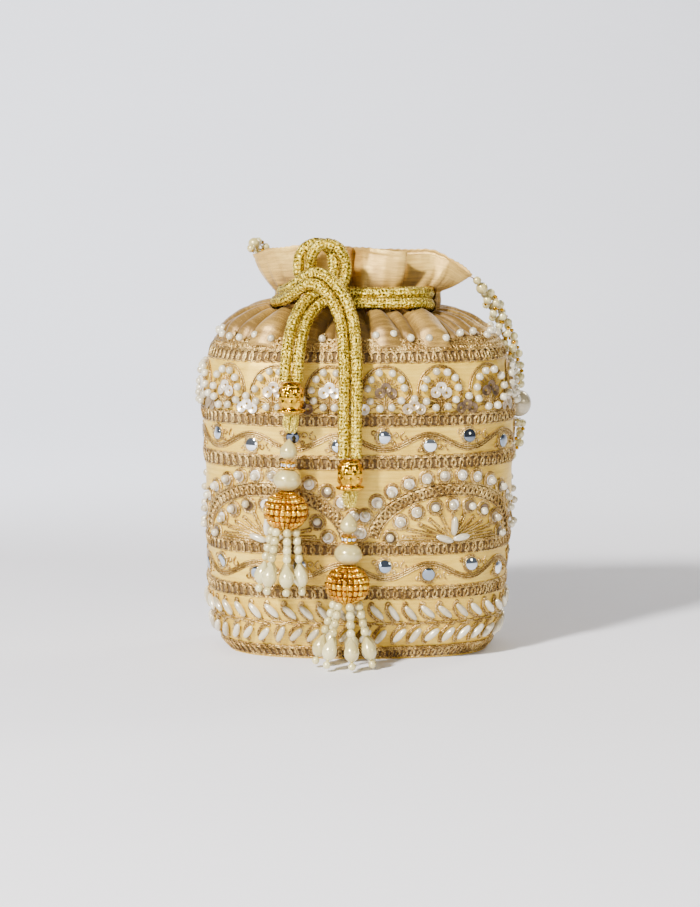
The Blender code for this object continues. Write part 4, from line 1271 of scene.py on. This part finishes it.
def makeCap(side):
    p = capShape
    place, tuft = caps[side]
    place = np.array(place)
    half = p["half"]
    profile = np.array([(4.3, half), (4.9, half - 0.9), (4.6, half - 1.5), (5.1, half - 2.6), (5.55, 1.6), (5.6, -0.6), (5.1, -3.6), (4.9, -4.4), (5.9, -5.2), (6.1, -6.0), (5.7, -half)])
    table = smoothTable(profile)
    run = np.concatenate([[0], np.cumsum(np.hypot(*np.diff(table, axis=0).T))])
    at = np.linspace(0, run[-1], p["rows"])
    r, z = np.interp(at, run, table[:, 0]), np.interp(at, run, table[:, 1])
    turn = np.linspace(0, 2 * math.pi, p["around"], endpoint=False)
    rows = []
    for rad, high in zip(r, z):
        push = np.zeros_like(turn)
        for level, (mid, tall, phase, count) in enumerate(((3.4, 2.0, 0, p["bosses"]), (0.4, 2.2, 0.5, p["bosses"]), (-2.6, 1.9, 0, p["bosses"]), (-5.7, 0.8, 0, 16))):
            near = max(0.0, 1 - ((high - mid) / tall) ** 2)
            push = np.maximum(push, near ** 0.7 * np.maximum(0, np.cos(count * (turn + phase * 2 * math.pi / count))) ** 0.8)
        rad = rad - 0.25 + p["raised"] * push
        rows.append(np.stack([rad * np.cos(turn), rad * np.sin(turn), np.full_like(turn, high)], -1))
    for rad, high in ((4.2, -half + 0.2), (3.3, -half + 0.6), (3.2, 0.0), (3.2, half - 0.3), (3.8, half)):
        rows.append(np.stack([rad * np.cos(turn), rad * np.sin(turn), np.full_like(turn, high)], -1))
    count, columns = len(rows), p["around"]
    faces = [tuple(reversed(f)) for f in gridFaces(count, columns)]
    faces += [tuple(reversed(((count - 1) * columns + c, (count - 1) * columns + (c + 1) % columns, (c + 1) % columns, c))) for c in range(columns)]
    made = pieceFrom(side + "Cap", (np.vstack(rows) + place) * mm, faces, gilt)
    tidyNormals(made)
    settle(made, "bag", "gilt_metal", side + "_bell_cap")
    # the frayed end of the cord under the cap
    top = place + (0, 0, -half + 1.2)
    lines = []
    for _ in range(p["threads"]):
        angle, r0 = dice.uniform(0, 2 * math.pi), 2.9 * math.sqrt(dice.random())
        long, wave = tuft * dice.uniform(0.84, 1.04) + 1.0, dice.uniform(0.3, 1.1)
        spin, points = dice.uniform(-1.2, 1.2), []
        for q in np.linspace(0, 1, 7):
            r = r0 * (1 + 0.35 * math.sin(math.pi * q) - 0.18 * q) + 0.4 * math.sin(q * 9 * wave + angle)
            a = angle + spin * q
            points.append((top + (r * math.cos(a), r * math.sin(a), -long * q)) * mm)
        lines.append((points, False))
    fringe = couchCords(side + "Tuft", lines, 0.23 * mm, 4, frayedGold)
    settle(fringe, "bag", "gold_cord", side + "_cord_tuft")
    return [made, fringe]


capPieces = makeCap("left") + makeCap("right")
makeDrawstring("drawstringOuter", outerCord, "drawstring_outer")
makeDrawstring("drawstringInner", innerCord, "drawstring_inner")
say("drawstrings, caps and tufts")

pendants = {
    "left": {"pivot": (-31.3, -62.0, 106.2), "lean": 3.0, "splay": 9.5},
    "right": {"pivot": (-4.1, -62.2, 72.2), "lean": 1.5, "splay": 16.0},
}
tassel = {"strands": 7, "ring": 5.6, "pearl": 1.95, "pearls": 4, "drop": (3.5, 5.9), "end": 1.8}


def placed(made, pivot, turn):
    made.data.transform(Matrix.Translation(Vector(pivot) * mm) @ turn.to_4x4())
    return made


def turnedPiece(name, profile, steps, finish):
    return turnedMesh(name, [(r * mm, z * mm) for r, z in profile], steps, finish)


def makePendant(side):
    p = pendants[side]
    pivot, turn = p["pivot"], Matrix.Rotation(math.radians(p["lean"]), 3, "Y")
    body = side + "_pendant"
    top = -0.6
    shape = [(r, z + top - 5.2) for r, z in pearProfile(4.1, 10.4, 18)]
    drop = placed(turnedPiece(side + "DropPearl", shape, 32, ivoryPearl), pivot, turn)
    settle(drop, body, "pearl", side + "_drop_pearl")
    top -= 10.7
    rims = []
    for z, r in ((top - 0.35, 3.15), (top - 2.65, 3.15)):
        t = np.linspace(0, 2 * math.pi, 28, endpoint=False)
        ring = [Vector((r * math.cos(a), r * math.sin(a), z)) for a in t]
        rims.append(([(Vector(pivot) + turn @ v) * mm for v in ring], True))
    settle(couchCords(side + "RondelleRims", rims, 0.36 * mm, 6, gilt), body, "gilt_metal")
    core = turnedPiece(side + "RondelleCore", [(0, top - 0.1), (2.6, top - 0.1), (2.75, top - 0.5), (2.75, top - 2.5), (2.6, top - 2.9), (0, top - 2.9)], 20, gilt)
    settle(placed(core, pivot, turn), body, "crystal", side + "_rondelle")
    stones = []
    for k in range(9):
        a = 2 * math.pi * k / 9
        out = turn @ Vector((math.cos(a), math.sin(a), 0))
        stones.append(((Vector(pivot) + turn @ Vector((2.95 * math.cos(a), 2.95 * math.sin(a), top - 1.5))) * mm, out, turn @ Vector((0, 0, 1)), (0.9 * mm, 0.9 * mm, 0.6 * mm)))
    settle(sewBeads(side + "Stones", stones, beadShapes["seedBead"], stone), body, "crystal")
    top -= 3.3
    ball = turnedPiece(side + "RoundPearl", [(r, z + top - 5.1) for r, z in ballProfile(6.5, 5.1, 20)], 40, ivoryPearl)
    settle(placed(ball, pivot, turn), body, "pearl", side + "_round_pearl")
    top -= 10.5
    middle = top - 8.7
    heart = turnedPiece(side + "BallHeart", [(r, z + middle) for r, z in ballProfile(8.3, 7.9, 14)], 32, seedGold)
    settle(placed(heart, pivot, turn), body, "bugle_beads", side + "_bugle_ball")
    tubes, seeds = [], []
    columns, levels = 22, 7
    for c in range(columns):
        a = 2 * math.pi * c / columns
        for k in range(levels):
            low, high = (-66 + 132 * k / levels), (-66 + 132 * (k + 1) / levels)
            mid = math.radians((low + high) / 2)
            r, z = 9.2 * math.cos(mid), 8.4 * math.sin(mid)
            out = turn @ Vector((math.cos(a) * math.cos(mid), math.sin(a) * math.cos(mid), math.sin(mid)))
            run = turn @ Vector((-math.cos(a) * math.sin(mid), -math.sin(a) * math.sin(mid), math.cos(mid)))
            place = (Vector(pivot) + turn @ Vector((r * math.cos(a), r * math.sin(a), z + middle))) * mm
            tubes.append((place, run, out, (min(1.16, r * 0.145) * mm, min(1.16, r * 0.145) * mm, 1.17 * mm)))
    settle(sewBeads(side + "Bugles", tubes, beadShapes["bugleBead"], bugle), body, "bugle_beads")
    for z, r, count in ((middle + 8.3, 3.0, 12), (middle - 8.3, 3.0, 12)):
        for c in range(count):
            a = 2 * math.pi * c / count
            place = (Vector(pivot) + turn @ Vector((r * math.cos(a), r * math.sin(a), z))) * mm
            seeds.append((place, turn @ Vector((0, 0, 1)), turn @ Vector((1, 0, 0)), (0.85 * mm,) * 3))
    settle(sewBeads(side + "BallSeeds", seeds, beadShapes["seedBead"], seedGold), body, "bugle_beads")
    foot = top - 17.4 + 1.2
    small, drops = [], []
    q = tassel
    for k in range(q["strands"]):
        a = 2 * math.pi * (k + 0.5) / q["strands"]
        out = Vector((math.cos(a), math.sin(a), 0))
        tilt = Matrix.Rotation(math.radians(p["splay"]), 3, Vector((0, 0, -1)).cross(out))
        start = out * q["ring"] + Vector((0, 0, foot))
        down = 0.0

        def bead(size, depth):
            local = start + tilt @ Vector((0, 0, -depth))
            return ((Vector(pivot) + turn @ local) * mm, turn @ (tilt @ Vector((0, 0, 1))), turn @ out, tuple(v * mm for v in size))

        for _ in range(q["pearls"]):
            small.append(bead((q["pearl"],) * 3, down + 2.0))
            down += 4.0
        drops.append(bead((q["drop"][0], q["drop"][0], q["drop"][1]), down + 5.7))
        small.append(bead((q["end"],) * 3, down + 11.4 + 1.6))
    names = [f"{side}_tassel_strand_{k + 1}" for k in range(q["strands"])]
    settle(sewBeads(side + "TasselPearls", small, finePearl, ivoryPearl), body, "pearl", *names)
    settle(sewBeads(side + "TasselDrops", drops, beadShapes["dropBead"], ivoryPearl), body, "pearl")


finePearl = turnedMesh("finePearl", ballProfile(1.0, 1.0, 10), 16, ivoryPearl)
makePendant("left")
makePendant("right")
say("pendants and tassels")

handlePath = [
    (55.3, 1, 175.2), (57.8, 3, 170.8), (62.8, 10, 164.2), (69.8, 21, 150.4), (74.4, 27, 138),
    (77.2, 30, 120), (78, 31, 106), (75, 37, 91), (66, 49, 80), (48, 60, 72), (20, 64, 68), (-8, 64, 70),
    (-31, 62, 80), (-41.5, 59, 97), (-44, 56.5, 116), (-42, 53.5, 135), (-38.5, 48.5, 150), (-36, 41, 161),
    (-37, 34, 169.5), (-41.5, 27.5, 177.6), (-45.6, 21.5, 184.8), (-47.6, 15.8, 189.6),
    (-49.4, 9.6, 190.4), (-51, 4, 187.4),
]
handle = {"strands": 3, "helix": 3.0, "pitch": 27.0, "pearl": 2.05, "seed": 1.1, "gap": 2.95, "bigAt": 76.0, "big": 6.0, "second": 2.9, "end": 2.0}


def makeHandle():
    p = handle
    line = openSpline(handlePath, 0.4)
    heading = unit(np.gradient(line, axis=0))
    run = np.concatenate([[0], np.cumsum(np.linalg.norm(np.diff(line, axis=0), axis=1))])
    total = run[-1]
    across = np.zeros_like(line)
    across[0] = unit(np.cross(heading[0], (0, 0, 1.0)))
    for k in range(1, len(line)):
        across[k] = unit(across[k - 1] - heading[k] * (across[k - 1] * heading[k]).sum())
    third = np.cross(heading, across)

    def at(d):
        return np.array([np.interp(d, run, line[:, k]) for k in range(3)]), unit(np.array([np.interp(d, run, heading[:, k]) for k in range(3)]))

    singles = []
    for side, flip in (("right", False), ("left", True)):
        for label, d, r, stretch in (("end_pearl", p["end"], p["end"], 1.0), ("second_pearl", 7.2, p["second"], 1.0), ("big_pearl", p["bigAt"], p["big"], 1.08)):
            place, way = at(total - d if flip else d)
            made = turnedPiece(side + label.title().replace("_", ""), ballProfile(r, r * stretch, 16), 28, whitePearl if label == "big_pearl" else ivoryPearl)
            placed(made, place, Vector(way).to_track_quat("Z", "Y").to_matrix())
            settle(made, "handle", "pearl", f"handle_{side}_{label}")
    ties = [([tuple(at(0.0)[0] * mm + np.array(reach) * mm), tuple(at(2.0)[0] * mm)], False) for reach in ((-2.6, 0, 0.4),)]
    ties.append(([tuple(at(total)[0] * mm + np.array((1.6, -1.5, -0.8)) * mm), tuple(at(total - 2.0)[0] * mm)], False))
    settle(couchCords("handleTies", ties, 0.3 * mm, 6, seedGold), "handle", "bugle_beads")
    first, clear = 11.4, p["big"] * 1.08 + 0.9
    spans = [("handle_right_strands", first, p["bigAt"] - clear), ("handle_back_strands", p["bigAt"] + clear, total - p["bigAt"] - clear), ("handle_left_strands", total - p["bigAt"] + clear, total - first)]
    for node, start, end in spans:
        pearls, seeds, threads = [], [], []
        for strand in range(p["strands"]):
            fine = np.arange(start, end, 0.25)
            edge = np.minimum(fine - start, end - fine)
            radius = p["helix"] * np.clip(0.25 + edge / 5, 0, 1)
            turn = 2 * math.pi * (fine / p["pitch"] + strand / p["strands"])
            base = np.stack([np.interp(fine, run, line[:, k]) for k in range(3)], -1)
            a = np.stack([np.interp(fine, run, across[:, k]) for k in range(3)], -1)
            b = np.stack([np.interp(fine, run, third[:, k]) for k in range(3)], -1)
            path = base + (a * np.cos(turn)[:, None] + b * np.sin(turn)[:, None]) * radius[:, None]
            long = np.concatenate([[0], np.cumsum(np.linalg.norm(np.diff(path, axis=0), axis=1))])
            threads.append(([tuple(v * mm) for v in path[::6]], False))
            d, k = 1.8 + dice.uniform(0, 1.4), 0
            while d < long[-1] - 1.2:
                place = np.array([np.interp(d, long, path[:, i]) for i in range(3)])
                ahead = np.array([np.interp(d + 0.5, long, path[:, i]) for i in range(3)])
                way = unit(ahead - place + 1e-9)
                size = p["pearl"] * dice.uniform(0.93, 1.05) if k % 2 == 0 else p["seed"]
                row = (place * mm, way, np.cross(way, (0.3, 0.2, 0.9)), (size * mm,) * 3)
                (pearls if k % 2 == 0 else seeds).append(row)
                d += p["gap"] + dice.uniform(-0.1, 0.15)
                k += 1
        label = node.split("_")[1]
        settle(sewBeads(label + "HandlePearls", pearls, beadShapes["pearlBead"], ivoryPearl), "handle", "pearl", node)
        settle(sewBeads(label + "HandleSeeds", seeds, beadShapes["seedBead"], seedGold), "handle", "bugle_beads")
        settle(couchCords(label + "HandleThreads", threads, 0.3 * mm, 4, ivoryPearl), "handle", "pearl")


makeHandle()
for helper in [*beadShapes.values(), finePearl]:
    bpy.data.objects.remove(helper)
say("handle")

# stage and lights
stageSettings = {"floor": ((0.80, 0.80, 0.87), (0.86, 0.86, 0.92)), "near": -5.0, "half": 5.0, "bend": 1.25}
lightSettings = {
    "key": {"at": (-0.92, -1.28, 1.18), "aim": (0, 0, 0.09), "size": 0.24, "power": 105.0, "colour": (1.0, 0.97, 0.92)},
    "front": {"at": (-0.60, -1.90, 0.42), "aim": (0, 0, 0.10), "size": 0.50, "power": 6.0, "colour": (0.97, 0.98, 1.0)},
    "fill": {"at": (1.25, -1.10, 0.65), "aim": (0, 0, 0.09), "size": 0.40, "power": 6.0, "colour": (1.0, 0.90, 0.60)},
    "rim": {"at": (0.75, 0.80, 0.90), "aim": (0, 0, 0.1), "size": 0.35, "power": 7.0, "colour": (1.0, 0.93, 0.72)},
    "backdrop": {"at": (-0.35, 0.55, 0.75), "aim": (-0.2, 1.7, 0.35), "size": 0.9, "power": 14.0, "colour": (0.86, 0.93, 1.0)},
}


def makeStage():
    p = stageSettings
    xs = np.linspace(-p["half"], p["half"], 3)
    ys = [p["near"], -0.6, 0.3, 0.6]
    profile = [(y, 0.0) for y in ys]
    for k in range(13):
        a = math.radians(90 * k / 12)
        profile.append((p["bend"] + 0.8 * math.sin(a) - 0.4, 0.8 * (1 - math.cos(a))))
    profile.append((profile[-1][0] + 0.02, 3.0))
    verts = [(x, y, z) for y, z in profile for x in xs]
    faces = [f for f in gridFaces(len(profile), 3, False)]
    floor = stageFinish("floorCloth", *p["floor"])
    cove = pieceFrom("studioFloor", verts, faces, floor)


def makeLights():
    for name, p in lightSettings.items():
        data = bpy.data.lights.new(name + "Light", "AREA")
        data.shape, data.size, data.energy, data.color = "DISK", p["size"], p["power"], p["colour"]
        lamp = bpy.data.objects.new(name + "Light", data)
        bpy.context.scene.collection.objects.link(lamp)
        lamp.location = p["at"]
        aim = Vector(p["aim"]) - lamp.location
        lamp.rotation_euler = aim.to_track_quat("-Z", "Y").to_euler()
        lamp.visible_camera = False
    world = bpy.data.worlds.new("softRoom")
    world.use_nodes = True
    sky = world.node_tree.nodes["Background"]
    sky.inputs["Color"].default_value = (0.86, 0.89, 0.96, 1.0)
    sky.inputs["Strength"].default_value = 0.20
    bpy.context.scene.world = world


makeStage()
makeLights()
say("stage and lights")
